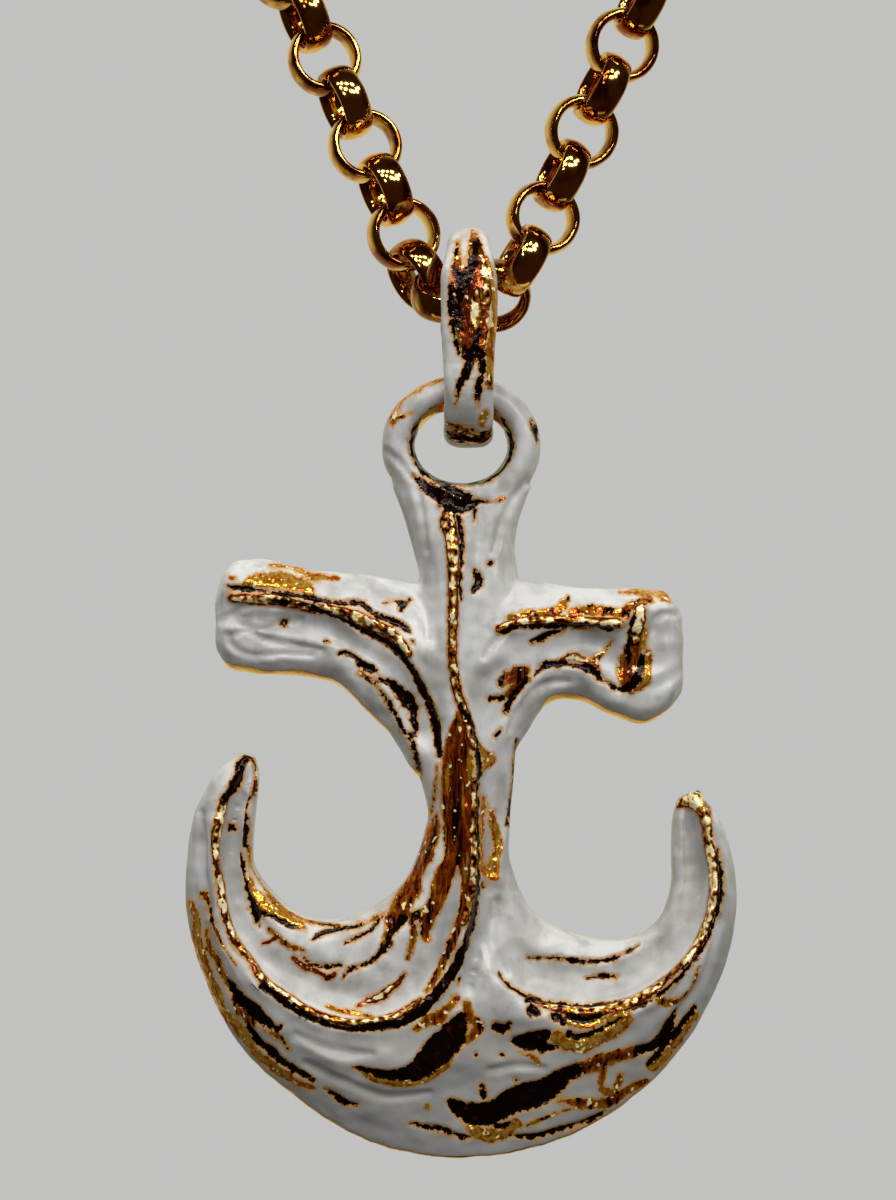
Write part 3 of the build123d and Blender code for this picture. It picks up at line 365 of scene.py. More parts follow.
# Folds pressed into the wax: x, z and half width as above
ANCHOR_FOLDS: list[Stroke] = [
    [(-20.6, 23.8, 0.14), (-19.9, 24.4, 0.20), (-18.8, 24.9, 0.20), (-17.4, 24.7, 0.18),
     (-16.3, 24.4, 0.08)],
    [(-19.8, 22.9, 0.16), (-18.4, 22.5, 0.20), (-16.0, 22.9, 0.20), (-14.5, 23.2, 0.08)],
    [(-20.9, 21.8, 0.14), (-19.5, 22.4, 0.20), (-17.6, 21.6, 0.22), (-15.2, 21.1, 0.20),
     (-12.5, 20.6, 0.08)],
    [(-21.0, 22.0, 0.14), (-20.6, 21.0, 0.18), (-19.4, 20.3, 0.20), (-15.8, 20.3, 0.20),
     (-13.3, 20.2, 0.08)],
    [(17.3, 22.4, 0.14), (17.5, 23.3, 0.18), (18.0, 23.8, 0.18), (19.3, 23.9, 0.10)],
    [(2.1, 20.0, 0.14), (2.7, 21.1, 0.20), (3.8, 22.2, 0.14)],
    [(4.3, 33.6, 0.16), (3.7, 32.2, 0.24), (3.3, 30.9, 0.22), (2.9, 29.5, 0.12)],
    [(6.0, 35.7, 0.14), (4.8, 34.5, 0.22), (4.0, 33.0, 0.14)],
    [(-6.8, 38.6, 0.14), (-5.2, 37.2, 0.22), (-4.0, 35.1, 0.22), (-3.6, 33.3, 0.16), (-3.2, 29.6, 0.10)],
    [(4.4, 13.4, 0.14), (5.0, 15.0, 0.22), (6.0, 16.4, 0.22), (7.3, 17.5, 0.20), (9.6, 17.8, 0.12)],
    [(-23.4, 6.0, 0.16), (-23.6, 1.6, 0.18), (-23.0, -3.2, 0.14)],
    [(-15.0, -14.2, 0.26), (-11.0, -15.6, 0.30), (-8.0, -15.8, 0.12)],
    [(-14.0, -16.6, 0.20), (-10.6, -18.2, 0.26), (-6.4, -19.6, 0.22), (-3.0, -19.2, 0.10)],
    [(23.2, -3.6, 0.14), (22.0, -8.4, 0.20), (19.4, -12.2, 0.14)],
    [(3.2, -2.0, 0.22), (3.0, -5.6, 0.28), (4.2, -8.6, 0.16)],
    [(2.6, -17.2, 0.20), (5.6, -16.8, 0.22), (7.4, -17.0, 0.10)],
    [(-7.6, 27.0, 0.12), (-4.8, 26.2, 0.20), (-3.4, 24.4, 0.16), (-3.0, 21.6, 0.10)],
]

# The same for the bail, from the middle of the chain's hole through it
BAIL_RUBS: dict[Rub, list[Stroke]] = {
    # Black streaks, partly painted shade and the gold's painted dark reflection
    Rub.DARK: [
        [(0.8, 5.4, 0.24), (0.6, 4.2, 0.36), (0.2, 2.8, 0.46), (-0.1, 1.8, 0.36), (-0.3, 0.9, 0.20)],
        [(-0.9, 5.0, 0.14), (-1.2, 3.8, 0.16), (-1.5, 2.2, 0.16), (-1.7, 0.2, 0.18), (-1.6, -1.6, 0.18),
         (-1.2, -3.6, 0.18), (-0.9, -5.0, 0.22)],
        [(1.0, -3.0, 0.30), (0.6, -4.2, 0.40), (0.2, -5.4, 0.45), (-0.2, -6.8, 0.36), (-0.8, -7.9, 0.28),
         (-1.1, -9.7, 0.10)],
        [(1.2, -4.8, 0.24), (1.3, -6.6, 0.30), (1.0, -7.8, 0.28), (0.8, -9.1, 0.24), (0.8, -10.0, 0.12)],
        [(-0.4, -1.0, 0.16), (-0.5, -2.4, 0.20), (-0.3, -3.8, 0.16)],
        [(-0.9, 2.6, 0.30), (-0.7, 1.0, 0.42), (-1.0, -0.6, 0.30), (-0.8, -2.6, 0.20)],
        [(-2.4, -13.4, 0.30), (0.0, -13.8, 0.40), (2.2, -13.4, 0.30)],
        [(-2.3, -12.2, 0.12), (-0.6, -12.7, 0.20), (1.0, -12.6, 0.22), (2.2, -12.0, 0.12)],
    ],
    Rub.BROWN: [
        [(0.2, 5.6, 0.60), (0.0, 4.0, 1.20), (0.0, 2.0, 1.55), (0.0, 0.5, 1.70), (0.2, -1.4, 1.65),
         (0.3, -3.2, 1.40), (0.3, -5.0, 0.95)],
        [(-2.6, -12.6, 0.60), (0.0, -13.2, 0.95), (2.4, -12.6, 0.60)],
        [(-1.9, -11.4, 0.14), (-0.8, -11.8, 0.24), (0.4, -12.0, 0.20)],
    ],
    Rub.BRIGHT: [
        [(0.9, 5.2, 0.16), (1.2, 3.6, 0.34), (1.5, 1.8, 0.40), (1.7, 0.4, 0.42), (1.6, -1.0, 0.34)],
        [(0.6, 0.6, 0.36), (0.6, -0.8, 0.62), (0.6, -1.8, 0.60), (0.6, -2.8, 0.36)],
        [(-0.3, 0.4, 0.26), (-0.2, -1.3, 0.22)],
        [(1.9, -7.3, 0.30), (2.0, -8.0, 0.20)],
    ],
    Rub.OCHRE: [
        [(1.2, 4.1, 0.20), (1.6, 3.0, 0.25), (2.0, 1.4, 0.28), (2.3, -0.4, 0.28), (2.4, -1.8, 0.26),
         (2.1, -3.7, 0.26), (1.8, -5.0, 0.28)],
        [(2.0, -5.0, 0.30), (2.1, -6.5, 0.45), (2.0, -7.8, 0.45)],
        [(1.5, -10.5, 0.30), (1.3, -11.4, 0.30)],
    ],
}
BAIL_ISLANDS: list[Stroke] = [
    [(-0.2, 6.0, 0.50), (-0.4, 4.6, 0.45), (-0.3, 3.6, 0.35), (-0.3, 2.4, 0.20)],
]


def smooth_rows(rows: Stroke | np.ndarray, count: int) -> np.ndarray:
    """Resamples a table along a smooth curve through its rows.

    Each column is a cubic in the distance from row to row, with the slope at a row taken from its
    two neighbours (Hermite basis), so the curve passes through every row.

    Args:
        rows: One row for each section, the places that set its distance in the first two columns.
        count: How many rows to return, evenly spaced by distance.

    Returns:
        The resampled table.
    """
    values = np.asarray(rows, float)
    steps = np.linalg.norm(np.diff(values[:, :2], axis=0), axis=1)
    at = np.concatenate([[0.0], np.cumsum(np.maximum(steps, 1e-6))])
    if len(values) > 2:
        slopes = np.gradient(values, at, axis=0)
    else:
        slopes = np.repeat(np.diff(values, axis=0) / at[-1], 2, axis=0)
    wanted = np.linspace(0, at[-1], count)
    left = np.clip(np.searchsorted(at, wanted, side="right") - 1, 0, len(at) - 2)
    span = (at[left + 1] - at[left])[:, None]
    t = (wanted - at[left])[:, None] / span
    return ((2 * t ** 3 - 3 * t ** 2 + 1) * values[left] + (t ** 3 - 2 * t ** 2 + t) * span * slopes[left]
            + (3 * t ** 2 - 2 * t ** 3) * values[left + 1] + (t ** 3 - t ** 2) * span * slopes[left + 1])


def stroke_distance(places: np.ndarray, strokes: list[Stroke], reach: float = 1.2) -> np.ndarray:
    """How far each place lies outside the nearest stroke's edge, less than 0 inside it.

    The distance to a stroke is the least, over its short straight pieces, of the distance to the
    piece minus the half width at the nearest point of it.

    Args:
        places: x and z of each place, n by 2.
        strokes: Rows of x, z and half width.
        reach: Distance past which a place counts as far off.

    Returns:
        One distance for each place.
    """
    nearest = np.full(len(places), FAR)
    for stroke in strokes:
        line = smooth_rows(stroke, STEPS_PER_ROW * len(stroke))
        low = line[:, :2].min(0) - reach - line[:, 2].max()
        high = line[:, :2].max(0) + reach + line[:, 2].max()
        close = np.flatnonzero(np.all((places > low) & (places < high), axis=1))
        start, step = line[:-1], np.diff(line, axis=0)
        offset = places[close, None, :] - start[None, :, :2]
        along = (offset * step[None, :, :2]).sum(-1) / np.maximum((step[:, :2] ** 2).sum(-1), 1e-9)
        along = np.clip(along, 0, 1)
        away = np.linalg.norm(offset - along[..., None] * step[None, :, :2], axis=-1)
        edge = (away - start[None, :, 2] - along * step[None, :, 2]).min(1)
        nearest[close] = np.minimum(nearest[close], edge)
    return nearest


def smoothstep(low: float, high: float, value: np.ndarray) -> np.ndarray:
    """0 below low, 1 above high, and a smooth rise between."""
    t = np.clip((value - low) / (high - low), 0, 1)
    return t * t * (3 - 2 * t)


def waves(points: np.ndarray, length: float, seed: int) -> np.ndarray:
    """Gentle hand-made unevenness: the mean of a few sine waves in seeded directions.

    Args:
        points: Places, n by 3.
        length: Wavelength, in the points' unit.
        seed: Seed of the waves' directions and phases.

    Returns:
        A height from about -1 to 1 for each place.
    """
    chance = np.random.default_rng(seed)
    directions = chance.normal(size=(WAVE_COUNT, 3))
    directions *= (TURN / length / np.linalg.norm(directions, axis=1))[:, None]
    phases = chance.uniform(0, TURN, WAVE_COUNT)
    return np.sin(points @ directions.T + phases).mean(1) * WAVE_GAIN


@dataclass(frozen=True)
class Swell:
    """One layer of unevenness: its height and wavelength in mm, and its seed."""

    height: float
    length: float
    seed: int

    def at(self, points: np.ndarray) -> np.ndarray:
        """The layer's height at each point."""
        return self.height * waves(points, self.length, self.seed)


def grid_faces(rows: int, columns: int, close_rows: bool = False) -> np.ndarray:
    """Quads of a grid whose columns run round in a ring, and its rows too if close_rows.

    Args:
        rows: Number of rows.
        columns: Number of columns.
        close_rows: Whether the last row joins the first.

    Returns:
        Four vertex numbers for each face.
    """
    row = np.arange(rows if close_rows else rows - 1)[:, None]
    column = np.arange(columns)[None, :]
    after, beside = (row + 1) % rows, (column + 1) % columns
    corners = [row * columns + column, row * columns + beside,
               after * columns + beside, after * columns + column]
    return np.stack([np.broadcast_to(c, (len(row), columns)) for c in corners], -1).reshape(-1, 4)


def add_object(name: str, data: bpy.types.ID) -> bpy.types.Object:
    """A new object, linked to the scene.

    Args:
        name: The object's name.
        data: Its mesh, light or camera.

    Returns:
        The object.
    """
    made = bpy.data.objects.new(name, data)
    bpy.context.scene.collection.objects.link(made)
    return made


def make_piece(name: str, points: np.ndarray, faces: list | np.ndarray) -> bpy.types.Object:
    """A smooth-shaded mesh object at the origin.

    Args:
        name: The piece's name.
        points: Vertices in millimetres, n by 3.
        faces: Vertex numbers of each face.

    Returns:
        The new object, linked to the scene.
    """
    mesh = bpy.data.meshes.new(name)
    faces = faces.tolist() if isinstance(faces, np.ndarray) else faces
    mesh.from_pydata((np.asarray(points) * MM).tolist(), [], faces)
    mesh.validate()
    mesh.shade_smooth()
    return add_object(name, mesh)


def recalculate_normals(mesh: bpy.types.Mesh) -> None:
    """Turns every shell's faces outwards.

    Args:
        mesh: The mesh of one or more closed shells.
    """
    shells = bmesh.new()
    shells.from_mesh(mesh)
    bmesh.ops.recalc_face_normals(shells, faces=shells.faces)
    shells.to_mesh(mesh)
    shells.free()


def read_points(mesh: bpy.types.Mesh) -> tuple[np.ndarray, np.ndarray]:
    """Reads a mesh's vertices and their normals.

    Args:
        mesh: The mesh, in metres.

    Returns:
        Places in millimetres and unit normals, each n by 3.
    """
    points, normals = np.empty(len(mesh.vertices) * 3), np.empty(len(mesh.vertices) * 3)
    mesh.vertices.foreach_get("co", points)
    mesh.vertices.foreach_get("normal", normals)
    return points.reshape(-1, 3) / MM, normals.reshape(-1, 3)


def write_points(mesh: bpy.types.Mesh, points: np.ndarray) -> None:
    """Puts vertices in millimetres back into a mesh."""
    mesh.vertices.foreach_set("co", (points * MM).ravel())
    mesh.update()


def write_charts(mesh: bpy.types.Mesh, rubs: dict[Rub, np.ndarray], **others: np.ndarray) -> None:
    """Keeps on the mesh what the enamel reads by name, one number for each vertex.

    Args:
        mesh: The piece's mesh.
        rubs: Distance outside each kind of rub.
        others: The values of plate, hollow, shade and island.
    """
    charts = {rub.value: away for rub, away in rubs.items()} | others
    for name, values in charts.items():
        attribute = mesh.attributes.new(name, "FLOAT", "POINT")
        attribute.data.foreach_set("value", np.clip(values, -CHART_REACH, CHART_REACH).astype(np.float32))


class Recipe:
    """Lays out the nodes of a material or of the world."""

    def __init__(self, owner: bpy.types.Material | bpy.types.World, coordinates: str = "Object") -> None:
        """Empties the owner's nodes, and starts from one kind of coordinates.

        Args:
            owner: The material or world.
            coordinates: The output of Texture Coordinate that patterns read.
        """
        self.owner = owner
        owner.use_nodes = True
        self.tree = owner.node_tree
        self.tree.nodes.clear()
        self.place = self.node("ShaderNodeTexCoord").outputs[coordinates]

    def node(self, kind: str, **settings: object) -> bpy.types.Node:
        """Adds a node.

        Args:
            kind: Its type.
            settings: Its properties.

        Returns:
            The node.
        """
        made = self.tree.nodes.new(kind)
        for key, value in settings.items():
            setattr(made, key, value)
        return made

    def feed(self, socket: Socket, value: object) -> None:
        """Links another node to an input, or sets the input's value.

        Args:
            socket: The input.
            value: An output to link, a number, or a colour as a tuple of three.
        """
        if isinstance(value, Socket):
            self.tree.links.new(value, socket)
        else:
            socket.default_value = (*value, 1.0) if isinstance(value, tuple) else value

    def maths(self, operation: str, *values: object) -> Socket:
        """Adds a Math node.

        Args:
            operation: What it does.
            values: Its inputs, outputs of other nodes or numbers.

        Returns:
            Its result.
        """
        made = self.node("ShaderNodeMath", operation=operation)
        for socket, value in zip(made.inputs, values):
            self.feed(socket, value)
        return made.outputs[0]

    def attribute(self, name: str) -> Socket:
        """A number kept on the mesh."""
        return self.node("ShaderNodeAttribute", attribute_name=name).outputs["Fac"]

    def noise(self, size: float, detail: float = 3.0, stretch: Row = (1, 1, 1),
              rough: float = 0.55) -> Socket:
        """Cloudy noise from 0 to 1 whose clouds are about size millimetres across.

        Args:
            size: Size of the clouds.
            detail: How many finer layers it has.
            stretch: How much longer the clouds are along each axis.
            rough: Strength of the finer layers.

        Returns:
            The noise's value.
        """
        mapping = self.node("ShaderNodeMapping")
        self.feed(mapping.inputs["Vector"], self.place)
        self.feed(mapping.inputs["Scale"], [1 / (size * MM * s) for s in stretch])
        made = self.node("ShaderNodeTexNoise")
        self.feed(made.inputs["Vector"], mapping.outputs[0])
        self.feed(made.inputs["Scale"], 1.0)
        self.feed(made.inputs["Detail"], detail)
        self.feed(made.inputs["Roughness"], rough)
        return made.outputs["Fac"]

    def centred(self, value: object, reach: float) -> Socket:
        """A value from 0 to 1 spread over the reach, with its middle at 0."""
        return self.maths("MULTIPLY_ADD", value, reach, -reach / 2)

    def rise(self, value: object, low: float, high: float, top: float = 1.0) -> Socket:
        """A smooth rise from 0 to top.

        Args:
            value: What it reads.
            low: The value where it is 0.
            high: The value where it is top, which may lie below low.
            top: The most it comes to.

        Returns:
            The risen value.
        """
        made = self.node("ShaderNodeMapRange", interpolation_type="SMOOTHSTEP")
        for name, number in (("Value", value), ("From Min", low), ("From Max", high), ("To Max", top)):
            self.feed(made.inputs[name], number)
        return made.outputs[0]

    def ramp(self, value: object, stops: list[tuple[float, Row]]) -> Socket:
        """A colour read from a row of colours.

        Args:
            value: Where to read, from 0 to 1.
            stops: Each colour with its place.

        Returns:
            The colour.
        """
        made = self.node("ShaderNodeValToRGB")
        elements = made.color_ramp.elements
        elements.remove(elements[1])
        for index, (place, colour) in enumerate(stops):
            element = elements[0] if index == 0 else elements.new(place)
            element.position = place
            element.color = (*colour, 1.0)
        self.feed(made.inputs[0], value)
        return made.outputs[0]

    def between(self, kind: str, share: object, first: object, second: object) -> Socket:
        """Adds a Mix node.

        Args:
            kind: Whether it mixes colours, RGBA, or numbers, FLOAT.
            share: How much of the second there is, from 0 to 1.
            first: What share 0 gives.
            second: What share 1 gives.

        Returns:
            The mixture.
        """
        made = self.node("ShaderNodeMix", data_type=kind)
        sockets = [s for s in made.inputs if s.enabled]
        for socket, value in zip(sockets, (share, first, second)):
            self.feed(socket, value)
        return next(s for s in made.outputs if s.enabled)

    def mix(self, share: object, first: object, second: object) -> Socket:
        """The first colour, or the second where share is 1."""
        return self.between("RGBA", share, first, second)

    def blend(self, share: object, first: object, second: object) -> Socket:
        """The first number, or the second where share is 1."""
        return self.between("FLOAT", share, first, second)

    def bump(self, height: object, distance: float, strength: float = 1.0,
             under: object = None) -> Socket:
        """A normal bent by a height.

        Args:
            height: The height, from 0 to 1.
            distance: What a height of 1 stands for, in millimetres.
            strength: Strength of the bend.
            under: The normal that it starts from, or none for the surface's own.

        Returns:
            The bent normal.
        """
        made = self.node("ShaderNodeBump")
        self.feed(made.inputs["Strength"], strength)
        self.feed(made.inputs["Distance"], distance * MM)
        self.feed(made.inputs["Height"], height)
        if under is not None:
            self.feed(made.inputs["Normal"], under)
        return made.outputs[0]

    def surface(self, colour: object, metallic: object, roughness: object, normal: object,
                glow: float = 0.0) -> bpy.types.Material:
        """Finishes the material with one principled surface.

        Args:
            colour: Base colour.
            metallic: Metallic, from 0 to 1.
            roughness: Roughness, from 0 to 1.
            normal: The bent normal.
            glow: Strength of a light of its own, in the base colour.

        Returns:
            The material.
        """
        shader = self.node("ShaderNodeBsdfPrincipled")
        inputs = {"Base Color": colour, "Metallic": metallic, "Roughness": roughness, "Normal": normal}
        if glow:
            inputs |= {"Emission Color": colour, "Emission Strength": glow}
        for name, value in inputs.items():
            self.feed(shader.inputs[name], value)
        output = self.node("ShaderNodeOutputMaterial")
        self.feed(output.inputs["Surface"], shader.outputs[0])
        return self.owner


@dataclass(frozen=True)
class RubbedEnamel:
    """Glossy white enamel, rubbed through to gold where the mesh's charts say."""

    white: Row = (0.66, 0.655, 0.63)
    grey_and_shade: Row = (0.37, 0.365, 0.34)
    halo: Row = (0.58, 0.29, 0.05)
    # Painted highlight: the colour of the glints laid into the gilding
    painted_glint_colour: Row = (1.0, 0.86, 0.50)
    gold: Row = (0.94, 0.54, 0.09)
    ochre: Row = (0.64, 0.30, 0.014)
    brown: Row = (0.60, 0.100, 0.003)
    deep: Row = (0.18, 0.024, 0.002)
    black: Row = (0.010, 0.004, 0.002)
    gloss: float = 0.26
    metal_gloss: float = 0.08
    gloss_range: float = 0.12
    sheen: float = 0.62
    # Metallic share at the painted glints, kept low so that their cream shows as a highlight
    glint_sheen: float = 0.10
    # How far the noises move an edge, in mm, and how much of the wild one the brown and dark take
    ragged_reach: float = 0.50
    wild_reach: float = 1.3
    streak_reach: float = 1.5
    brown_wildness: float = 0.35
    dark_wildness: float = 0.45
    # How high the specks' noise must be for a painted glint, off and on the beaded ridges
    glint_level: float = 0.66
    bead_glint_level: float = 0.535

    def edges(self, r: Recipe, wild: Socket) -> tuple[dict[Rub, Socket], Socket, Socket]:
        """Distances outside the rubs, with noise added so that no edge is a clean line.

        Args:
            r: The material's recipe.
            wild: Coarse noise, for edges that are torn.

        Returns:
            The distance outside each kind of rub, outside the gold back, and outside the nearest
            bare metal of any kind.
        """
        ragged = r.centred(r.noise(0.55, detail=4.0), self.ragged_reach)
        edges = {rub: r.maths("ADD", r.attribute(rub.value), ragged) for rub in Rub}
        edges[Rub.OCHRE] = r.maths("ADD", r.attribute(Rub.OCHRE.value), wild)
        edges[Rub.BROWN] = r.maths("MULTIPLY_ADD", wild, self.brown_wildness, edges[Rub.BROWN])
        edges[Rub.DARK] = r.maths("MULTIPLY_ADD", wild, self.dark_wildness, edges[Rub.DARK])
        nearest = edges[Rub.OCHRE]
        for rub in (Rub.BROWN, Rub.BRIGHT, Rub.DARK):
            nearest = r.maths("MINIMUM", nearest, edges[rub])
        island = r.maths("ADD", r.attribute("island"), ragged)
        nearest = r.maths("MAXIMUM", nearest, r.maths("MULTIPLY", island, -1.0))
        plate = r.maths("ADD", r.attribute("plate"), ragged)
        return edges, plate, r.maths("MINIMUM", nearest, plate)

    def enamel(self, r: Recipe, clouds: Socket, nearest: Socket) -> Socket:
        """The enamel's colour: greyer in random clouds and flutes, with painted shade below the arms' ridges
        and in the hollows, and a worn halo round bare metal.

        Args:
            r: The material's recipe.
            clouds: Coarse noise.
            nearest: Distance outside the nearest bare metal.

        Returns:
            The colour.
        """
        flutes = r.noise(1.5, detail=4.0, stretch=(1.6, 1.0, 1.6))
        grey_shares = [
            r.rise(clouds, 0.42, 0.70, top=0.8),
            r.rise(flutes, 0.55, 0.68, top=0.5),
            # Painted shade below the arms' ridges, where the bevel faces down
            r.rise(r.attribute("shade"), 0.0, 1.0, top=0.8),
            # Painted shade: greyer in the charted hollows
            r.rise(r.attribute("hollow"), 0.5, -0.3, top=0.45),
        ]
        colour = self.white
        for share in grey_shares:
            colour = r.mix(share, colour, self.grey_and_shade)
        return r.mix(r.rise(nearest, 0.30, 0.04, top=0.9), colour, self.halo)

    def gilding(self, r: Recipe, edges: dict[Rub, Socket], wild: Socket) -> tuple[Socket, Socket]:
        """The rubs' colours, each kind laid over the one before, with painted shade on the beads' flanks,
        painted shade and dark reflection in the dark rubs, and painted glints.

        Args:
            r: The material's recipe.
            edges: Distance outside each kind of rub.
            wild: Coarse noise.

        Returns:
            The colour, and 1 where a glint is painted in cream.
        """
        streaks = r.centred(r.noise(0.9, detail=4.0, stretch=(0.6, 0.6, 2.5)), self.streak_reach)
        ochre = r.ramp(r.maths("SUBTRACT", streaks, edges[Rub.OCHRE]), [
            (0.00, self.brown), (0.10, self.ochre), (0.33, self.gold), (0.45, self.ochre), (0.75, self.brown),
        ])
        brown = r.ramp(r.maths("SUBTRACT", streaks, edges[Rub.BROWN]), [
            (0.08, self.ochre), (0.22, self.brown), (0.55, self.deep), (0.70, self.brown), (1.00, self.deep),
        ])
        grooves = r.noise(0.55, stretch=(1.0, 1.0, 9.0))
        brown = r.mix(r.rise(grooves, 0.53, 0.60), brown, self.black)
        brown = r.mix(r.rise(grooves, 0.42, 0.37), brown, self.ochre)
        specks = r.noise(0.68, detail=1.0)
        # Painted shade: a bead's flanks are laid deep brown, and only its top gets the speckled gilding
        # colours
        crest = r.rise(edges[Rub.BRIGHT], -0.12, -0.20)
        bright = r.mix(crest, self.deep, r.ramp(specks, [
            (0.38, self.black), (0.43, self.brown), (0.48, self.ochre), (0.52, self.gold),
        ]))
        # Painted shade and painted dark reflection: the dark rubs are laid black and deep brown, with no
        # glints
        dark = r.ramp(wild, [(0.10, self.black), (0.30, self.deep), (0.45, self.brown)])
        covered = r.rise(edges[Rub.DARK], 0.05, -0.05)
        colour = r.mix(r.rise(edges[Rub.BROWN], 0.02, -0.04), ochre, brown)
        colour = r.mix(r.rise(edges[Rub.BRIGHT], 0.02, -0.04), colour, bright)
        colour = r.mix(covered, colour, dark)
        level = r.blend(r.maths("SUBTRACT", crest, covered), self.glint_level, self.bead_glint_level)
        # Painted highlight: cream glints laid where the specks' noise is high, more often on the beads
        painted_glint = r.rise(r.maths("SUBTRACT", specks, level), 0.0, 0.02)
        painted_glint = r.maths("MULTIPLY", painted_glint, r.maths("SUBTRACT", 1.0, covered))
        return r.mix(painted_glint, colour, self.painted_glint_colour), painted_glint

    def relief(self, r: Recipe, metal: Socket, plate: Socket) -> Socket:
        """The normal: uneven enamel, a step down to the metal, and hammering but for the back.

        Args:
            r: The material's recipe.
            metal: 1 where metal is bare.
            plate: 1 on the gold back.

        Returns:
            The bent normal.
        """
        skin = r.bump(r.noise(1.3, detail=4.0), distance=0.10, strength=0.5)
        step = r.bump(r.maths("SUBTRACT", 1.0, metal), distance=0.06, strength=0.8, under=skin)
        worked = r.maths("SUBTRACT", metal, r.maths("MULTIPLY", plate, 0.8))
        return r.bump(r.maths("MULTIPLY", r.noise(1.0, detail=1.0), worked), distance=0.30, under=step)

    def material(self) -> bpy.types.Material:
        """Enamel and gilding, parted by the ragged edges of the charted rubs.

        Returns:
            The material.
        """
        r = Recipe(bpy.data.materials.new("rubbed_enamel"))
        wild = r.centred(r.noise(1.1, detail=5.0, rough=0.7), self.wild_reach)
        clouds = r.noise(3.2, detail=4.0, stretch=(1, 1, 1.8))
        edges, plate, nearest = self.edges(r, wild)
        metal = r.rise(nearest, 0.02, -0.02)
        plate = r.rise(plate, 0.02, -0.10)
        gilding, painted_glint = self.gilding(r, edges, wild)
        backing = r.mix(r.rise(clouds, 0.35, 0.70, top=0.5), self.gold, self.ochre)
        colour = r.mix(metal, self.enamel(r, clouds, nearest), r.mix(plate, gilding, backing))
        # The painted glints are made less metallic, so that their cream shows as a highlight
        shine = r.blend(plate, r.blend(painted_glint, self.sheen, self.glint_sheen), 1.0)
        gloss = r.blend(metal, self.gloss, self.metal_gloss)
        rough = r.maths("MULTIPLY_ADD", r.noise(1.1), self.gloss_range, gloss)
        return r.surface(colour, r.maths("MULTIPLY", metal, shine), rough, self.relief(r, metal, plate))


@dataclass(frozen=True)
class PolishedGold:
    """Bright gold plate with the faint unevenness of tumbled links."""

    gold: Row = (0.96, 0.56, 0.12)
    deep: Row = (0.32, 0.085, 0.010)
    gloss: float = 0.05
    gloss_range: float = 0.08

    def material(self) -> bpy.types.Material:
        """Gold clouded by noise, over a soft bump.

        Returns:
            The material.
        """
        r = Recipe(bpy.data.materials.new("polished_gold"))
        colour = r.mix(r.rise(r.noise(2.2, stretch=(1, 1, 1.6)), 0.42, 0.62), self.gold, self.deep)
        rough = r.maths("MULTIPLY_ADD", r.noise(0.9), self.gloss_range, self.gloss)
        return r.surface(colour, 1.0, rough, r.bump(r.noise(2.4, detail=1.0), distance=0.14, strength=0.6))


@dataclass(frozen=True)
class PaleFloor:
    """Matt off-white, with a glow of its own that makes it as bright as the air."""

    colour: Row = (0.60, 0.595, 0.585)
    mottle: float = 0.96
    roughness: float = 0.9
    glow: float = 0.50

    def material(self) -> bpy.types.Material:
        """A matt pale surface with a faint mottle.

        Returns:
            The material.
        """
        r = Recipe(bpy.data.materials.new("pale_floor"))
        colour = r.mix(r.noise(180.0), self.colour, tuple(self.mottle * c for c in self.colour))
        return r.surface(colour, 0.0, self.roughness, r.bump(r.noise(40.0), 0.5, 0.1), self.glow)


@dataclass(frozen=True)
class Viewpoint:
    """Where the camera stands, in mm from the middle of the V of chain that carries the bail."""

    across: float = -1.99
    up: float = -27.25
    distance: float = 215.0
    seen_height: float = 108.0

    def eye(self, vee: np.ndarray) -> np.ndarray:
        """The camera's place."""
        return vee + np.array([self.across, -self.distance, self.up])

    def flatten(self, points: np.ndarray, vee: np.ndarray) -> np.ndarray:
        """Where the camera sees each point on the upright plane through the V.

        Each offset from the camera is scaled by the plane's distance over the point's own.

        Args:
            points: Places in the frame, in mm, n by 3.
            vee: The middle of the V.

        Returns:
            x and z on the plane, n by 2.
        """
        eye = self.eye(vee)
        share = self.distance / (points[:, 1] - eye[1])
        return eye[[0, 2]] + (points[:, [0, 2]] - eye[[0, 2]]) * share[:, None]


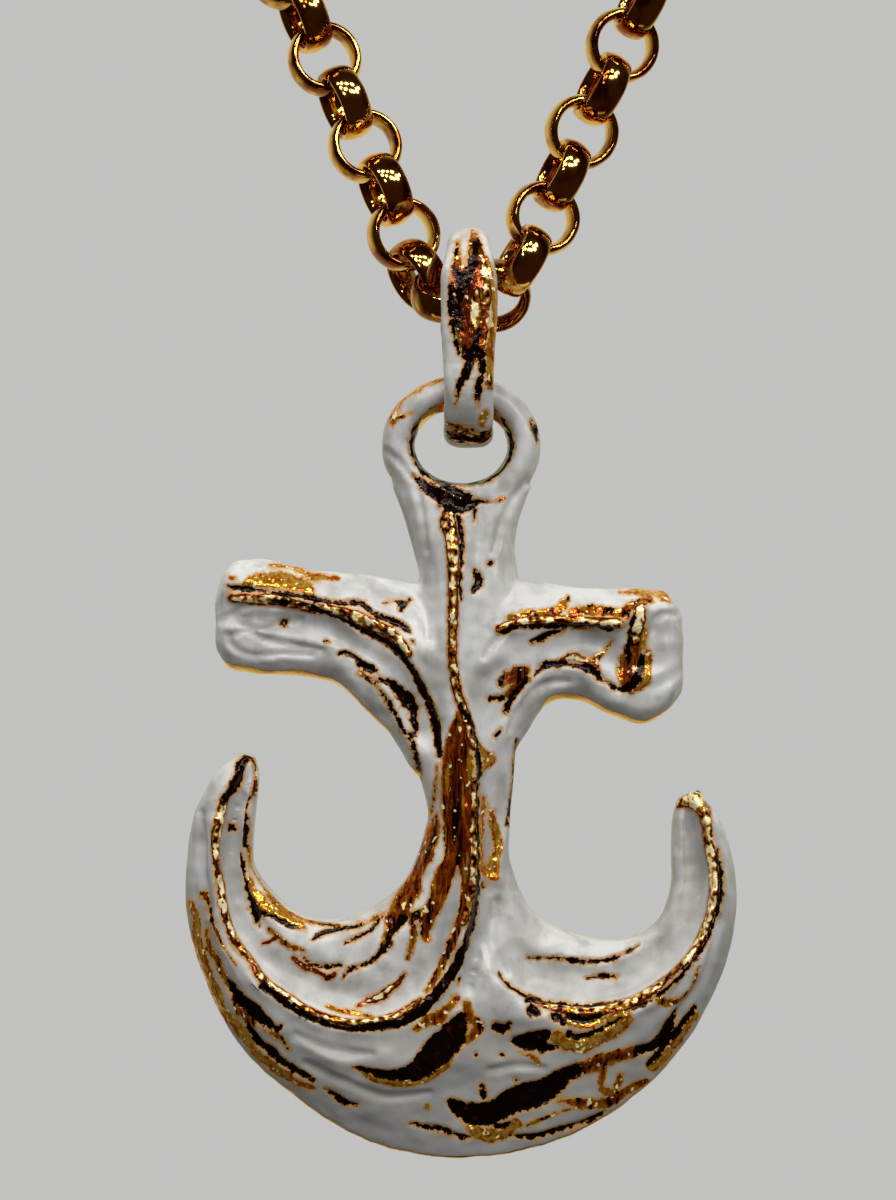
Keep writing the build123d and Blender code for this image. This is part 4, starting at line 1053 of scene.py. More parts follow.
@dataclass
class Limb:
    """One limb of the casting: a section carried along a run of straight cuts."""

    front: float
    back: float
    dish: float = 0.35
    edge_share: float = 0.30
    back_edge_share: float = 0.45
    back_inset: float = 0.16
    grain: float = 0.20
    # Powers of the rounding towards the near edge and the far one
    bulge: Row = (1.7, 0.72)
    fall: Row = (1.8, 0.65)
    # Waves across the limb that make its grooves, and how they wander along it
    groove_waves: Row = (2.3, 3.7, 5.3, 7.9, 11.0)
    groove_shares: Row = (1.0, 0.9, 0.8, 0.55, 0.35)
    groove_total: float = 1.8
    groove_fade: float = 0.6
    wander: float = 0.55
    wander_turns: float = 2.5
    seed: int = 1
    stations: int = 110
    across: int = 44

    def striae(self, share: np.ndarray) -> np.ndarray:
        """Grooves that run along the limb, as a height in mm at each station and place across.

        The sum of five sine waves across the cut. The phase of each wanders along the limb as a
        slower sine, so the grooves drift and merge, and all fade out towards both edges.

        Args:
            share: Places across a cut, from 0 to 1, as one row.

        Returns:
            Heights, one row for each station.
        """
        chance = np.random.default_rng(self.seed)
        across = np.array(self.groove_waves)[:, None, None]
        strength = np.array(self.groove_shares)[:, None, None]
        along = np.linspace(0, 1, self.stations)[None, :, None]
        drift = chance.uniform(0, 1, (3, len(self.groove_waves)))[..., None, None]
        phase = drift[0] + self.wander * np.sin(TURN * (drift[1] * self.wander_turns * along + drift[2]))
        ripples = strength * np.sin(TURN * (across * share[None] + phase))
        return self.grain * ripples.sum(0) * np.sin(math.pi * share) ** self.groove_fade / self.groove_total

    def mesh(self, cuts: np.ndarray) -> Shell:
        """Sweeps the section along the cuts.

        Across a cut, from 0 at its start to 1 at its end, the front rises as a quarter of a
        rounded square to the crest, dips by half a sine wave below the line from crest to shelf,
        and falls the same rounded way from the shelf to the far edge. The back is a flat with two
        sloped edges.

        Args:
            cuts: Rows of middle x, middle z, half step x, half step z, crest, crest_up, shelf
                and shelf_up. A cut runs from the middle minus the half step to the middle plus it.

        Returns:
            Vertices and faces of a closed shell.
        """
        rows = smooth_rows(cuts, self.stations)
        middle, half = rows[:, None, 0:2], rows[:, None, 2:4]
        crest, crest_up, shelf, shelf_up = (rows[:, None, k] for k in range(4, 8))
        share = (1 - np.cos(np.linspace(0, math.pi, self.across)))[None, :] / 2
        edge = self.edge_share * crest_up
        to_crest = np.clip(share / crest, 0, 1)
        to_shelf = np.clip((share - crest) / np.maximum(shelf - crest, 0.05), 0, 1)
        from_end = np.clip((1 - share) / (1 - shelf), 0, 1)
        rise = edge + (crest_up - edge) * (1 - (1 - to_crest) ** self.bulge[0]) ** self.bulge[1]
        face = crest_up + (shelf_up - crest_up) * to_shelf
        face = face - self.dish / self.front * np.sin(math.pi * to_shelf)
        fall = edge + (shelf_up - edge) * (1 - (1 - from_end) ** self.fall[0]) ** self.fall[1]
        height = np.where(share < crest, rise, np.where(share < shelf, face, fall)) * self.front
        height = height + self.striae(share)
        back = crest_up * self.back
        back_share = np.array([[1.0, 1 - self.back_inset, 0.66, 0.34, self.back_inset, 0.0]])
        back_depth = np.array([[self.back_edge_share, 1.0, 1.0, 1.0, 1.0, self.back_edge_share]]) * back
        shares = np.concatenate([share, back_share], 1)[..., None]
        depth = np.concatenate([-height, back_depth], 1)
        flat = middle + half * (2 * shares - 1)
        points = np.stack([flat[..., 0], depth, flat[..., 1]], -1)
        rings, ring = points.shape[:2]
        faces = grid_faces(rings, ring).tolist()
        faces += [list(range(ring)), list(range(rings * ring - 1, (rings - 1) * ring - 1, -1))]
        return points.reshape(-1, 3), faces


@dataclass
class Anchor:
    """The casting: an eye, a shank, a stock and two arms round one circle.

    Sizes are those of the solid model. Tables hold shares of them, one row for each cut.
    """

    eye_hole: Row = (8.3, 6.7)
    eye_wall: float = 3.0
    eye_depth: float = 5.0
    shank_length: float = 35.65
    shank_width: float = 8.9
    shank_front: float = 5.0
    stock_drop: float = 12.45
    stock_reach: Row = (22.0, 19.8)
    stock_height: float = 9.0
    stock_front: float = 4.3
    crown_radius: float = 24.8
    crown_front: float = 5.2
    back_depth: float = 3.2
    # How far the solid reaches left of and below the crown's middle, as shares of the radius
    solid_reach: Row = (0.995, 0.997)
    voxel: float = 0.262
    soften_rounds: int = 10
    soften_share: float = 0.5
    back_rounds: int = 70
    # Depths between which the evening of the back sets in
    back_depths: Row = (0.8, 1.8)
    ridge_height: float = 0.30
    hollow_depth: float = 0.45
    crease_depth: float = 0.24
    fold_depth: float = 0.30
    beads: Swell = Swell(0.14, 1.1, 7)
    front_swells: tuple[Swell, ...] = (Swell(0.05, 3.4, 3), Swell(0.03, 1.5, 4))
    all_round_swell: Swell = Swell(0.03, 2.2, 5)
    # The gold back: its depth, how much further it comes round under an edge, and its wavering line
    plate_depth: float = 1.3
    plate_wrap: float = 3.7
    plate_swell: Swell = Swell(0.35, 4.0, 6)
    # How far round the eye's section the painted shade on the inner wall reaches, either side of its middle
    hole_wall_deg: float = 62.0
    node: str = "anchor"
    # down, into, left, right, crest, crest_up, shelf, shelf_up
    shank_cuts: list[Row] = field(default_factory=lambda: [
        (0.007, 0.00, -0.70, 0.71, 0.43, 0.60, 0.75, 0.50),
        (0.070, 0.00, -0.60, 0.61, 0.44, 0.68, 0.75, 0.54),
        (0.146, 0.00, -0.51, 0.54, 0.41, 0.78, 0.75, 0.60),
        (0.221, 0.00, -0.43, 0.56, 0.37, 0.86, 0.75, 0.66),
        (0.397, 0.00, -0.44, 0.56, 0.36, 0.92, 0.78, 0.70),
        (0.549, 0.00, -0.44, 0.56, 0.44, 0.95, 0.80, 0.66),
        (0.700, 0.00, -0.44, 0.54, 0.58, 0.98, 0.84, 0.56),
        (0.851, 0.00, -0.33, 0.49, 0.60, 1.02, 0.84, 0.50),
        (1.000, 0.00, -0.50, 0.48, 0.66, 1.04, 0.86, 0.50),
        (1.000, 0.22, -0.48, 0.50, 0.55, 1.02, 0.80, 0.70),
        (1.000, 0.45, -0.36, 0.45, 0.45, 0.80, 0.75, 0.66),
    ])
    # out, top, bottom, crest, crest_up, shelf, shelf_up
    stock_left_cuts: list[Row] = field(default_factory=lambda: [
        (1.000, 0.28, -0.28, 0.30, 0.50, 0.75, 0.48),
        (0.963, 0.50, -0.42, 0.22, 0.76, 0.78, 0.68),
        (0.850, 0.62, -0.51, 0.28, 0.90, 0.80, 0.80),
        (0.660, 0.54, -0.54, 0.34, 0.96, 0.80, 0.84),
        (0.504, 0.49, -0.63, 0.36, 1.00, 0.75, 0.86),
        (0.373, 0.46, -0.92, 0.37, 1.00, 0.75, 0.86),
        (0.270, 0.41, -1.19, 0.36, 1.00, 0.77, 0.84),
        (0.200, 0.38, -1.47, 0.40, 1.00, 0.84, 0.78),
        (0.066, 0.28, -1.72, 0.45, 0.98, 0.84, 0.76),
        (0.000, 0.20, -1.80, 0.45, 0.86, 0.84, 0.70),
    ])
    stock_right_cuts: list[Row] = field(default_factory=lambda: [
        (1.000, 0.06, -0.70, 0.35, 0.50, 0.70, 0.50),
        (0.968, 0.20, -0.80, 0.24, 0.78, 0.76, 0.74),
        (0.836, 0.32, -1.01, 0.18, 0.96, 0.81, 0.90),
        (0.668, 0.33, -0.92, 0.26, 0.96, 0.83, 0.86),
        (0.523, 0.34, -0.78, 0.32, 0.96, 0.74, 0.84),
        (0.386, 0.39, -0.82, 0.34, 0.98, 0.74, 0.84),
        (0.277, 0.42, -1.17, 0.31, 1.00, 0.76, 0.80),
        (0.132, 0.39, -1.61, 0.35, 0.98, 0.80, 0.76),
        (0.030, 0.34, -1.70, 0.38, 0.88, 0.80, 0.72),
    ])
    # outer x, outer z, inner x, inner z, crest, crest_up, shelf, shelf_up
    left_arm_cuts: list[Row] = field(default_factory=lambda: [
        (-0.795, 0.465, -0.744, 0.444, 0.40, 0.40, 0.75, 0.38),
        (-0.871, 0.404, -0.733, 0.378, 0.45, 0.56, 0.80, 0.44),
        (-0.940, 0.298, -0.740, 0.298, 0.42, 0.66, 0.84, 0.48),
        (-0.987, 0.124, -0.755, 0.124, 0.42, 0.75, 0.86, 0.50),
        (-0.995, -0.095, -0.747, 0.040, 0.48, 0.82, 0.86, 0.52),
        (-0.933, -0.338, -0.689, -0.040, 0.42, 0.88, 0.84, 0.54),
        (-0.805, -0.585, -0.602, -0.116, 0.45, 0.94, 0.82, 0.58),
        (-0.587, -0.789, -0.478, -0.149, 0.48, 0.98, 0.80, 0.62),
        (-0.333, -0.940, -0.315, -0.098, 0.50, 1.00, 0.80, 0.66),
        (-0.078, -0.997, -0.187, 0.025, 0.53, 1.00, 0.80, 0.72),
        (0.140, -0.990, -0.115, 0.233, 0.59, 0.98, 0.82, 0.76),
    ])
    right_arm_cuts: list[Row] = field(default_factory=lambda: [
        (0.856, 0.320, 0.787, 0.298, 0.40, 0.40, 0.75, 0.34),
        (0.922, 0.244, 0.769, 0.233, 0.33, 0.54, 0.80, 0.34),
        (0.969, 0.124, 0.762, 0.124, 0.30, 0.62, 0.82, 0.34),
        (0.995, -0.040, 0.762, -0.022, 0.34, 0.70, 0.82, 0.34),
        (0.975, -0.233, 0.722, -0.142, 0.41, 0.78, 0.82, 0.36),
        (0.888, -0.458, 0.638, -0.200, 0.50, 0.84, 0.84, 0.38),
        (0.715, -0.698, 0.515, -0.218, 0.55, 0.88, 0.84, 0.42),
        (0.487, -0.873, 0.376, -0.185, 0.59, 0.92, 0.84, 0.46),
        (0.254, -0.967, 0.242, -0.095, 0.61, 0.92, 0.84, 0.54),
        (0.067, -0.997, 0.173, 0.087, 0.61, 0.92, 0.84, 0.60),
        (-0.090, -0.996, 0.165, 0.220, 0.62, 0.92, 0.84, 0.62),
    ])

    def middle(self) -> np.ndarray:
        """The middle of the crown's circle, where the frame has the solid.

        Returns:
            The place in mm.
        """
        low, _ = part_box(self.node)
        left, below = (share * self.crown_radius for share in self.solid_reach)
        return np.array(low) / MM + np.array([left, self.crown_front, below])

    def eye_drop(self) -> float:
        """Height of the eye's middle over the crown's middle."""
        return self.shank_length + self.eye_hole[1] / 2

    def ring_radii(self) -> tuple[float, float]:
        """Half the width and half the height of the line along the middle of the eye's wall."""
        return (self.eye_hole[0] + self.eye_wall) / 2, (self.eye_hole[1] + self.eye_wall) / 2

    def cuts(self, starts: np.ndarray, ends: np.ndarray, ridges: np.ndarray) -> np.ndarray:
        """Middle and half step of each cut, with its ridge columns, for a limb's sweep."""
        return np.concatenate([(starts + ends) / 2, (ends - starts) / 2, ridges], 1)

    def shank(self) -> Shell:
        """The upright limb, from under the eye's hole down into the crown.

        Its cuts are level. A cut's height is the shank's length times what is left of it there,
        less a share of the crown's radius, and its ends are shares of the shank's width.

        Returns:
            Vertices and faces.
        """
        table = np.array(self.shank_cuts)
        height = self.shank_length * (1 - table[:, 0]) - table[:, 1] * self.crown_radius
        starts = np.stack([table[:, 2] * self.shank_width, height], 1)
        ends = np.stack([table[:, 3] * self.shank_width, height], 1)
        limb = Limb(self.shank_front, self.back_depth, grain=0.14)
        return limb.mesh(self.cuts(starts, ends, table[:, 4:]))

    def stock(self, rows: list[Row], reach: float) -> Shell:
        """One side of the stock, from its end in to the shank.

        Its cuts are upright, at shares of the reach, from the top edge down to the lower one.

        Args:
            rows: The cuts.
            reach: How far out it reaches, less than 0 to the left.

        Returns:
            Vertices and faces.
        """
        table = np.array(rows)
        level = self.shank_length - self.stock_drop
        starts = np.stack([table[:, 0] * reach, level + table[:, 1] * self.stock_height], 1)
        ends = np.stack([table[:, 0] * reach, level + table[:, 2] * self.stock_height], 1)
        limb = Limb(self.stock_front, self.back_depth, dish=0.25, seed=2 if reach < 0 else 3)
        return limb.mesh(self.cuts(starts, ends, table[:, 3:]))

    def arm(self, rows: list[Row]) -> Shell:
        """One arm, its cuts fanned round the crown's middle, from the tip in to the shank.

        Args:
            rows: The cuts, from the outer edge to the inner one, as shares of the crown's radius.

        Returns:
            Vertices and faces.
        """
        table = np.array(rows)
        starts, ends = table[:, 0:2] * self.crown_radius, table[:, 2:4] * self.crown_radius
        seed = 4 if table[0, 0] < 0 else 5
        limb = Limb(self.crown_front, self.back_depth, dish=0.75, bulge=(1.25, 0.88), seed=seed)
        return limb.mesh(self.cuts(starts, ends, table[:, 4:]))

    def eye(self, around: int = 96, section: int = 32) -> Shell:
        """The ring: an oval section of the wall, carried round the oval hole.

        Args:
            around: Steps round the hole.
            section: Steps round the wall.

        Returns:
            Vertices and faces of a closed ring.
        """
        turn = np.linspace(0, TURN, around, endpoint=False)[:, None]
        roll = np.linspace(0, TURN, section, endpoint=False)[None, :]
        across, up = self.ring_radii()
        outward = np.stack([np.cos(turn) * up, np.sin(turn) * across], -1)
        outward /= np.linalg.norm(outward, axis=-1, keepdims=True)
        centre = np.stack([np.cos(turn) * across, np.sin(turn) * up], -1)
        flat = centre + outward * (np.cos(roll) * self.eye_wall / 2)[..., None]
        depth = np.broadcast_to(-np.sin(roll) * self.eye_depth / 2, flat.shape[:2])
        points = np.stack([flat[..., 0], depth, flat[..., 1] + self.eye_drop()], -1)
        return points.reshape(-1, 3), grid_faces(around, section, close_rows=True)[:, ::-1].tolist()

    def casting(self) -> bpy.types.Mesh:
        """All limbs run together into one skin of even small faces, and smoothed a little.

        Returns:
            The skin, from the crown's middle.
        """
        limbs = [
            self.shank(), self.stock(self.stock_left_cuts, -self.stock_reach[0]),
            self.stock(self.stock_right_cuts, self.stock_reach[1]),
            self.arm(self.left_arm_cuts), self.arm(self.right_arm_cuts), self.eye(),
        ]
        points, faces, count = [], [], 0
        for limb_points, limb_faces in limbs:
            points.append(limb_points)
            faces += [[count + index for index in face] for face in limb_faces]
            count += len(limb_points)
        rough = make_piece("casting_rough", np.concatenate(points), faces)
        recalculate_normals(rough.data)
        remesh = rough.modifiers.new("skin", "REMESH")
        remesh.mode = "VOXEL"
        remesh.voxel_size = self.voxel * MM
        soften = rough.modifiers.new("soften", "SMOOTH")
        soften.factor = self.soften_share
        soften.iterations = self.soften_rounds
        bpy.context.view_layer.update()
        graph = bpy.context.evaluated_depsgraph_get()
        skin = bpy.data.meshes.new_from_object(rough.evaluated_get(graph))
        bpy.data.objects.remove(rough)
        return skin

    def even_back(self, skin: bpy.types.Mesh, points: np.ndarray) -> np.ndarray:
        """Evens out the steps between limbs on the back, which is one flat in the mould.

        Each place's depth moves again and again to the mean depth of its neighbours, fully on the
        back and not at all from the middle of the casting forwards.

        Args:
            skin: The casting, for its edges.
            points: Places from the crown's middle, n by 3.

        Returns:
            The places with their new depths.
        """
        ends = np.empty(2 * len(skin.edges), np.int32)
        skin.edges.foreach_get("vertices", ends)
        first, second = ends[0::2], ends[1::2]
        neighbours = np.bincount(ends, minlength=len(points))
        depth = points[:, 1].copy()
        share = smoothstep(*self.back_depths, depth)
        for _ in range(self.back_rounds):
            total = np.bincount(first, depth[second], len(depth))
            total += np.bincount(second, depth[first], len(depth))
            depth += share * (total / neighbours - depth)
        return np.stack([points[:, 0], depth, points[:, 2]], 1)

    def painted_shade_below_ridges(self, seen: np.ndarray) -> np.ndarray:
        """Painted shade: grey below the ridges of the arms, where the bevel faces down.

        Args:
            seen: x and z of each place as seen from the front, from the crown's middle.

        Returns:
            0 where no shade is painted, to 1 where it is darkest.
        """
        arm_ridges = zip(ANCHOR_RIDGES, (80, 40))
        line = np.concatenate([smooth_rows(ridge, count)[:, :2] for ridge, count in arm_ridges])
        below_tips = line[:, 1] < 5.0
        off_shank = np.hypot(*line.T) > 9.5
        line = line[below_tips & off_shank]
        turn = np.arctan2(line[:, 0], -line[:, 1])
        order = np.argsort(turn)
        reach = np.interp(np.arctan2(seen[:, 0], -seen[:, 1]), turn[order], np.hypot(*line.T)[order])
        past = np.hypot(seen[:, 0], seen[:, 1]) - reach
        return smoothstep(0.3, 3.5, past) * smoothstep(8.0, -2.0, seen[:, 1])

    def painted_shade_in_eye(self, points: np.ndarray) -> np.ndarray:
        """Distance outside the painted shade on the wall of the eye's hole, less than 0 on it.

        Args:
            points: Places from the crown's middle, n by 3.

        Returns:
            One distance for each place.
        """
        across, up = self.ring_radii()
        share = np.hypot(points[:, 0] / across, (points[:, 2] - self.eye_drop()) / up)
        inward = (1 - share) * (across + up) / 2
        turned = np.abs(np.arctan2(-points[:, 1], inward)) - math.radians(self.hole_wall_deg)
        return np.where((share < 1) & (share > 0.5), turned * self.eye_wall / 2, FAR)

    def build(self, view: Viewpoint, vee: np.ndarray, finish: bpy.types.Material) -> bpy.types.Object:
        """The dressed casting, riding on its body in place of the solid.

        Args:
            view: The viewpoint from which the charts are seen.
            vee: The middle of the V, in mm in the frame.
            finish: The enamel.

        Returns:
            The piece.
        """
        skin = self.casting()
        skin.name = "anchor_casting"
        points, normals = read_points(skin)
        points = self.even_back(skin, points)
        home = self.middle()
        seen = view.flatten(points + home, vee) - home[[0, 2]]
        front = smoothstep(0.0, 0.35, -normals[:, 1])

        def charted(strokes: list[Stroke], reach: float = 1.2) -> np.ndarray:
            """Distance to strokes as seen from the front, far off on faces turned away."""
            return np.where(front > 0.02, stroke_distance(seen, strokes, reach), FAR)

        rubs = {rub: charted(strokes) for rub, strokes in ANCHOR_RUBS.items()}
        hollows = charted(ANCHOR_HOLLOWS, 3.0)

        # Each layer of relief fades out between two distances, in mm, from the edge of its strokes
        beads = self.beads.height + self.beads.at(points)
        height = self.ridge_height * smoothstep(0.55, -0.35, charted(ANCHOR_RIDGES))
        height -= self.hollow_depth * smoothstep(2.2, -0.4, hollows)
        height += smoothstep(0.10, -0.30, rubs[Rub.BRIGHT]) * beads
        height -= self.crease_depth * smoothstep(0.14, -0.24, rubs[Rub.DARK])
        height -= self.fold_depth * smoothstep(0.40, -0.20, charted(ANCHOR_FOLDS))
        height += sum(swell.at(points) for swell in self.front_swells)
        height = height * front + self.all_round_swell.at(points)
        write_points(skin, points + home + normals * height[:, None])

        # The gold back comes further round the edges that face down
        under = smoothstep(0.1, 0.8, -normals[:, 2])
        plate = self.plate_depth - self.plate_wrap * under + self.plate_swell.at(points) - points[:, 1]
        # Painted shade: the wall inside the eye's hole is laid as a dark rub
        rubs[Rub.DARK] = np.minimum(rubs[Rub.DARK], self.painted_shade_in_eye(points))
        write_charts(skin, rubs, plate=plate, hollow=hollows, shade=self.painted_shade_below_ridges(seen),
                     island=charted(ANCHOR_ISLANDS))
        skin.materials.clear()
        skin.materials.append(finish)
        skin.shade_smooth()
        piece = add_object("anchor_casting", skin)
        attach(piece, "anchor")
        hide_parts(self.node)
        return piece


@dataclass
class Bail:
    """The long loop that carries the anchor: a rounded wall round a long hole along X."""

    wall: float = 2.5
    foot_wall: float = 2.9
    hole_radius: float = 3.705
    hole_length: float = 14.45
    half_widths: list[Row] = field(default_factory=lambda: [
        (6.21, 1.65), (3.4, 2.12), (1.0, 2.50), (-0.6, 2.60), (-3.5, 2.46), (-7.0, 2.25), (-13.7, 2.25),
    ])
    around: int = 180
    section: int = 40
    squareness: float = 2.7
    # How far the middle of the V of chain is to the bail's +X side
    off_vee: float = 0.15
    # The front is forward of this depth, in faces that don't turn back more than this
    front_depth: float = -1.5
    front_turn: float = 0.2
    swells: tuple[Swell, ...] = (Swell(0.07, 3.4, 11), Swell(0.03, 1.2, 12))
    crease_depth: float = 0.10
    inset: float = 0.06
    # The gold inside of the loop: how far round the section it starts, and its slope
    inside_turn: float = 0.62
    inside_slope: float = 1.2
    node: str = "bail"

    def middle(self) -> np.ndarray:
        """The middle of the chain's hole, where the frame has the solid.

        Returns:
            The place in mm.
        """
        low, high = (np.array(corner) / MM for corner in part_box(self.node))
        centre = (low + high) / 2
        return np.array([centre[0], centre[1], high[2] - self.hole_radius - self.wall])

    def vee(self) -> np.ndarray:
        """The middle of the V of chain that carries the bail."""
        return self.middle() + np.array([self.off_vee, 0.0, 0.0])

    def loop(self, radius: float, foot: float) -> np.ndarray:
        """A long loop in Y and Z: half a circle over the top, two straight sides, half an oval below.

        Args:
            radius: Half its width.
            foot: Depth of the half oval under the straight sides.

        Returns:
            Points, evenly numbered over the four stretches.
        """
        drop = self.hole_length - 2 * self.hole_radius
        quarter = self.around // 4
        t = np.linspace(0, 1, quarter, endpoint=False)
        top = np.stack([-radius * np.cos(math.pi * t), radius * np.sin(math.pi * t)], 1)
        right = np.stack([np.full(quarter, radius), -drop * t], 1)
        under = np.stack([radius * np.cos(math.pi * t), -drop - foot * np.sin(math.pi * t)], 1)
        left = np.stack([np.full(quarter, -radius), -drop * (1 - t)], 1)
        return np.concatenate([top, right, under, left])

    def build(self, view: Viewpoint, vee: np.ndarray, finish: bpy.types.Material) -> bpy.types.Object:
        """The dressed bail.

        Its section between the inner and the outer loop is a rounded square: the half wall and
        the half width times the cosine and sine of the roll, each raised to 2 over the squareness.

        Args:
            view: The viewpoint from which the charts are seen.
            vee: The middle of the V, in mm in the frame.
            finish: The enamel.

        Returns:
            The piece.
        """
        inner = self.loop(self.hole_radius, self.hole_radius)
        outer = self.loop(self.hole_radius + self.wall, self.hole_radius + self.foot_wall)
        roll = np.linspace(0, TURN, self.section, endpoint=False)
        turned = np.stack([np.cos(roll), np.sin(roll)])
        out, side = np.sign(turned) * np.abs(turned) ** (2 / self.squareness)
        centre, half = (inner + outer) / 2, (outer - inner) / 2
        flat = centre[:, None, :] + half[:, None, :] * out[None, :, None]
        table = np.array(self.half_widths)[::-1]
        width = np.interp(flat[..., 1], table[:, 0], table[:, 1])
        points = np.stack([width * side[None, :], flat[..., 0], flat[..., 1]], -1).reshape(-1, 3)
        home = self.middle()
        faces = grid_faces(self.around, self.section, close_rows=True)
        piece = make_piece("bail_loop", points + home, faces)
        recalculate_normals(piece.data)
        places, normals = read_points(piece.data)
        local = places - home
        seen = view.flatten(places, vee) - home[[0, 2]]
        front = (local[:, 1] < self.front_depth) & (normals[:, 1] < self.front_turn)

        def charted(strokes: list[Stroke]) -> np.ndarray:
            """Distance to strokes as seen from the front, far off elsewhere."""
            return np.where(front, stroke_distance(seen, strokes), FAR)

        rubs = {rub: charted(strokes) for rub, strokes in BAIL_RUBS.items()}
        height = sum(swell.at(local) for swell in self.swells)
        height -= self.crease_depth * smoothstep(0.10, -0.25, rubs[Rub.DARK])
        write_points(piece.data, places + normals * (height - self.inset)[:, None])
        inside = self.inside_slope * (np.tile(out, self.around) + self.inside_turn)
        write_charts(piece.data, rubs, plate=inside, hollow=np.full(len(places), FAR),
                     shade=np.zeros(len(places)), island=charted(BAIL_ISLANDS))
        piece.data.materials.append(finish)
        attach(piece, "bail")
        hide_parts(self.node)
        return piece


@dataclass
class Chain:
    """One half of the chain, as domed bands where the frame has the solid links."""

    node: str
    diameter: float = 6.75
    wall: float = 1.0
    band: float = 2.6
    rim: float = 0.4
    # How much the band narrows at its rims, and how suddenly
    lip_drop: float = 0.06
    lip_power: int = 9
    links: int = 68
    around: int = 44
    arc: int = 9

    def places(self) -> tuple[np.ndarray, np.ndarray]:
        """Middle and axis of every link, read from the frame.

        The solid links all have as many triangles, one link after another. A link's axis is the
        direction in which its points spread least.

        Returns:
            Middles in mm, and unit axes.
        """
        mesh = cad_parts[self.node].data
        corners = np.empty(len(mesh.loops), np.int64)
        mesh.loops.foreach_get("vertex_index", corners)
        points, _ = read_points(mesh)
        rings = points[corners].reshape(self.links, -1, 3)
        middles = (rings.max(1) + rings.min(1)) / 2
        spread = rings - middles[:, None, :]
        _, _, axes = np.linalg.svd(spread, full_matrices=False)
        return middles, axes[:, 2]

    def profile(self) -> np.ndarray:
        """The wall's outline: a domed outside, a domed hole and two narrow rims.

        Each dome is a parabola across the band, and adds half of what the wall has over the rim.

        Returns:
            Radius and height of each point, in order round the outline.
        """
        middle, half_band = (self.diameter - self.wall) / 2, self.band / 2
        t = np.linspace(-1, 1, self.arc)
        dome = (self.wall - self.rim) / 2 * (1 - t ** 2)
        lip = 1 - self.lip_drop * np.abs(t) ** self.lip_power
        outside = np.stack([middle + self.rim / 2 + dome, half_band * t * lip], 1)
        inside = np.stack([middle - self.rim / 2 - dome, half_band * t * lip], 1)[::-1]
        top = np.array([[middle, half_band]])
        bottom = np.array([[middle, -half_band]])
        return np.concatenate([outside, top, inside, bottom])

    def build(self, finish: bpy.types.Material) -> bpy.types.Object:
        """All links of this half, each the same profile turned round its own axis.

        Args:
            finish: The gold.

        Returns:
            The piece.
        """
        middles, axes = self.places()
        profile = self.profile()
        helper = np.where(np.abs(axes[:, 2:]) < 0.8, [[0.0, 0.0, 1.0]], [[1.0, 0.0, 0.0]])
        first = np.cross(axes, helper)
        first /= np.linalg.norm(first, axis=1, keepdims=True)
        second = np.cross(axes, first)
        turn = np.linspace(0, TURN, self.around, endpoint=False)
        spoke = first[:, None, :] * np.cos(turn)[None, :, None]
        spoke += second[:, None, :] * np.sin(turn)[None, :, None]
        points = (middles[:, None, None, :] + spoke[:, :, None, :] * profile[None, None, :, 0, None]
                  + axes[:, None, None, :] * profile[None, None, :, 1, None])
        faces = grid_faces(self.around, len(profile), close_rows=True)
        every = (np.arange(self.links) * self.around * len(profile))[:, None, None] + faces[None]
        piece = make_piece(f"{self.node}_links", points.reshape(-1, 3), every.reshape(-1, 4))
        recalculate_normals(piece.data)
        piece.data.materials.append(finish)
        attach(piece, "chain")
        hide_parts(self.node)
        return piece


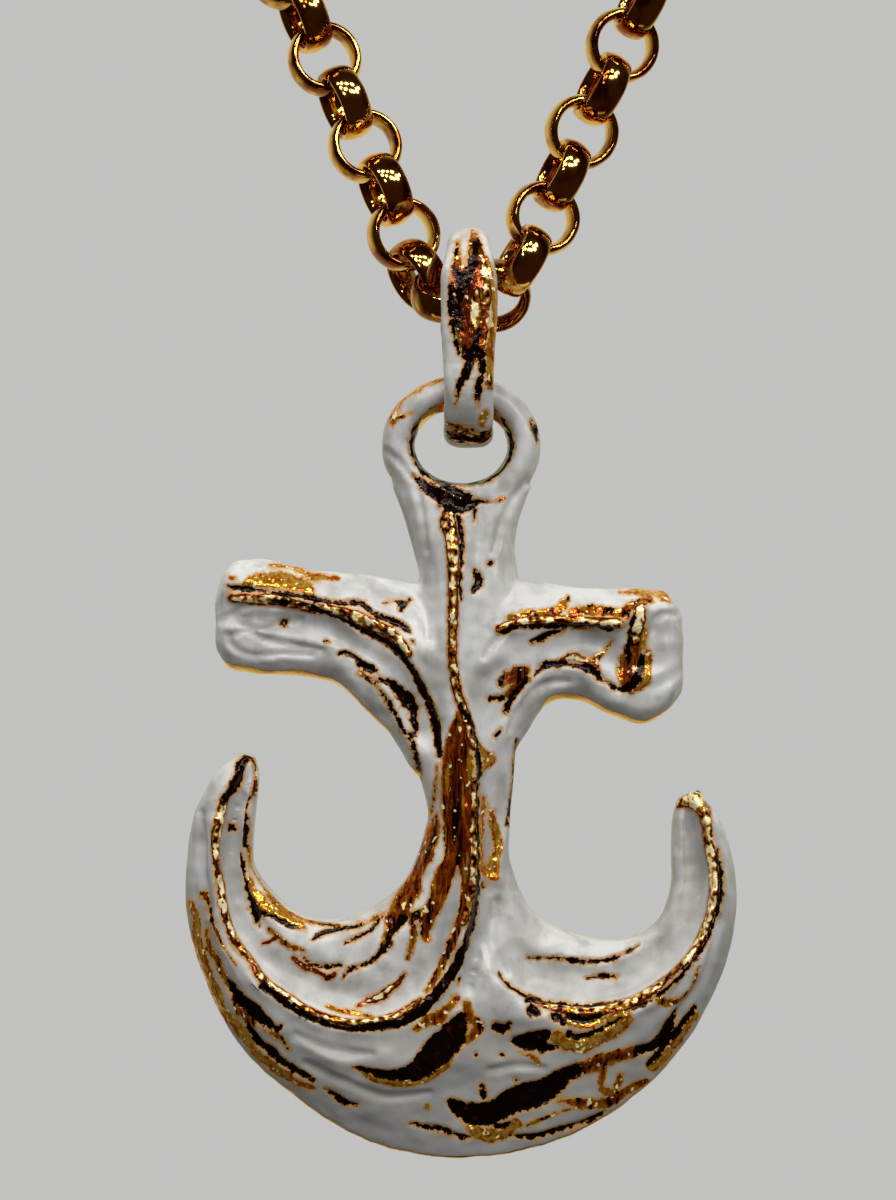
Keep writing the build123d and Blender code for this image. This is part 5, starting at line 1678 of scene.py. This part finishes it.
@dataclass
class Studio:
    """Floor, light and camera."""

    view: Viewpoint
    vee: np.ndarray
    floor_drop: float = 600.0
    floor_radius: float = 1400.0
    floor_steps: int = 96
    # What the lamps face, in mm from the middle of the V
    aim: Row = (0.0, 0.0, -40.0)
    # Place and diameter of each lamp of the ceiling, and its watts for each square mm
    spots: list[Row] = field(default_factory=lambda: [
        (-230, -380, 430, 84), (-90, -430, 470, 96), (60, -400, 430, 84), (205, -370, 440, 100),
        (-130, -520, 330, 100), (35, -580, 340, 84), (190, -530, 280, 96), (-50, -680, 190, 70),
        (330, -360, 330, 96), (420, -300, 400, 90), (300, -340, 230, 84), (250, -470, 250, 80),
    ])
    spot_power: float = 28e-6
    # The air: dim and full colours of what light finds, and of what polished surfaces find
    around: tuple[Row, Row] = ((0.10, 0.099, 0.0975), (0.34, 0.337, 0.332))
    mirrored: tuple[Row, Row] = ((0.024, 0.010, 0.004), (0.65, 0.62, 0.42))
    pale: Row = (0.535, 0.535, 0.53)
    sensor: float = 36.0
    clip: Row = (0.01, 20.0)

    def floor(self) -> bpy.types.Object:
        """A pale round floor well below the pendant: rings of points round its middle.

        Returns:
            The floor.
        """
        turn = np.linspace(0, TURN, self.floor_steps, endpoint=False)
        middle = self.vee - np.array([0, 0, self.floor_drop])
        ring = np.stack([np.cos(turn), np.sin(turn), np.zeros(self.floor_steps)], 1)
        radii = (self.floor_radius, self.floor_radius / 2)
        points = np.concatenate([middle + radius * ring for radius in radii])
        inner = list(range(self.floor_steps, 2 * self.floor_steps))
        floor = make_piece("floor", points, grid_faces(2, self.floor_steps).tolist() + [inner])
        floor.data.materials.append(PaleFloor().material())
        floor.visible_glossy = floor.visible_diffuse = False
        return floor

    def lamp(self, name: str, place: Row, size: float, power: float, glossy: bool = True) -> None:
        """A round soft lamp that faces the pendant.

        Args:
            name: The lamp's name.
            place: Its place in mm from the middle of the V.
            size: Its diameter in mm.
            power: Watts.
            glossy: Whether polished surfaces show it.
        """
        data = bpy.data.lights.new(name, "AREA")
        data.shape = "DISK"
        data.size = size * MM
        data.energy = power
        lamp = add_object(name, data)
        lamp.location = Vector((self.vee + np.array(place)) * MM)
        lamp.rotation_mode = "QUATERNION"
        aim = Vector((self.vee + np.array(self.aim)) * MM) - lamp.location
        lamp.rotation_quaternion = aim.to_track_quat("-Z", "Y")
        lamp.visible_glossy = glossy
        lamp.visible_camera = False

    def light(self) -> None:
        """Broad soft light from above, and a ceiling of small round lamps for the glints."""
        self.lamp("overhead", (-100, -110, 560), size=200, power=1.75, glossy=False)
        self.lamp("front_fill", (-240, -620, 160), size=380, power=0.2, glossy=False)
        for index, (x, y, z, size) in enumerate(self.spots):
            self.lamp(f"spot_{index}", (x, y, z), size, self.spot_power * size ** 2)
        self.air()

    def air(self) -> None:
        """The world: pale to the camera, dark to polished surfaces but for behind, dim to the rest."""
        world = bpy.data.worlds.new("studio_air")
        bpy.context.scene.world = world
        world.cycles.sampling_method = "NONE"
        r = Recipe(world, "Generated")
        split = r.node("ShaderNodeSeparateXYZ")
        r.feed(split.inputs[0], r.place)

        def background(colour: object) -> Socket:
            """A background.

            Args:
                colour: Its colour.

            Returns:
                Its shader.
            """
            made = r.node("ShaderNodeBackground")
            r.feed(made.inputs["Color"], colour)
            return made.outputs[0]

        def choose(share: Socket, first: Socket, second: Socket) -> Socket:
            """Parts two kinds of ray.

            Args:
                share: 1 for the rays that find the second background.
                first: What other rays find.
                second: What those rays find.

            Returns:
                The shader of both.
            """
            made = r.node("ShaderNodeMixShader")
            for socket, value in zip(made.inputs, (share, first, second)):
                r.feed(socket, value)
            return made.outputs[0]

        path = r.node("ShaderNodeLightPath").outputs
        around = background(r.mix(r.rise(split.outputs["Z"], -0.6, 0.9), *self.around))
        mirrored = background(r.mix(r.rise(split.outputs["Y"], 0.05, 0.90), *self.mirrored))
        lit = choose(path["Is Glossy Ray"], around, mirrored)
        seen = choose(path["Is Camera Ray"], lit, background(self.pale))
        r.feed(r.node("ShaderNodeOutputWorld").inputs["Surface"], seen)

    def camera(self) -> None:
        """A camera straight in front, which sees the pendant as the photograph does."""
        data = bpy.data.cameras.new("camera")
        data.sensor_width = self.sensor
        data.lens = data.sensor_width * self.view.distance / self.view.seen_height
        data.clip_start, data.clip_end = self.clip
        camera = add_object("camera", data)
        camera.location = Vector(self.view.eye(self.vee) * MM)
        camera.rotation_euler = (math.pi / 2, 0.0, 0.0)
        bpy.context.scene.camera = camera
        bpy.context.scene.view_settings.view_transform = "Standard"


def main() -> None:
    """Builds the pieces from the chain down, dresses them, and sets up the studio."""
    enamel = RubbedEnamel().material()
    gold = PolishedGold().material()
    view = Viewpoint()
    bail = Bail()
    vee = bail.vee()
    pieces = [
        Chain("chain_left").build(gold),
        Chain("chain_right").build(gold),
        bail.build(view, vee, enamel),
        Anchor().build(view, vee, enamel),
    ]
    for piece in pieces:
        log.info("%s: %d vertices, %d faces", piece.name, len(piece.data.vertices), len(piece.data.polygons))
    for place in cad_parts["clasp"].material_slots:
        place.material = gold
    log.info("clasp: the solid, in gold")
    studio = Studio(view, vee)
    studio.floor()
    studio.light()
    studio.camera()


if __name__ == "__main__":
    main()
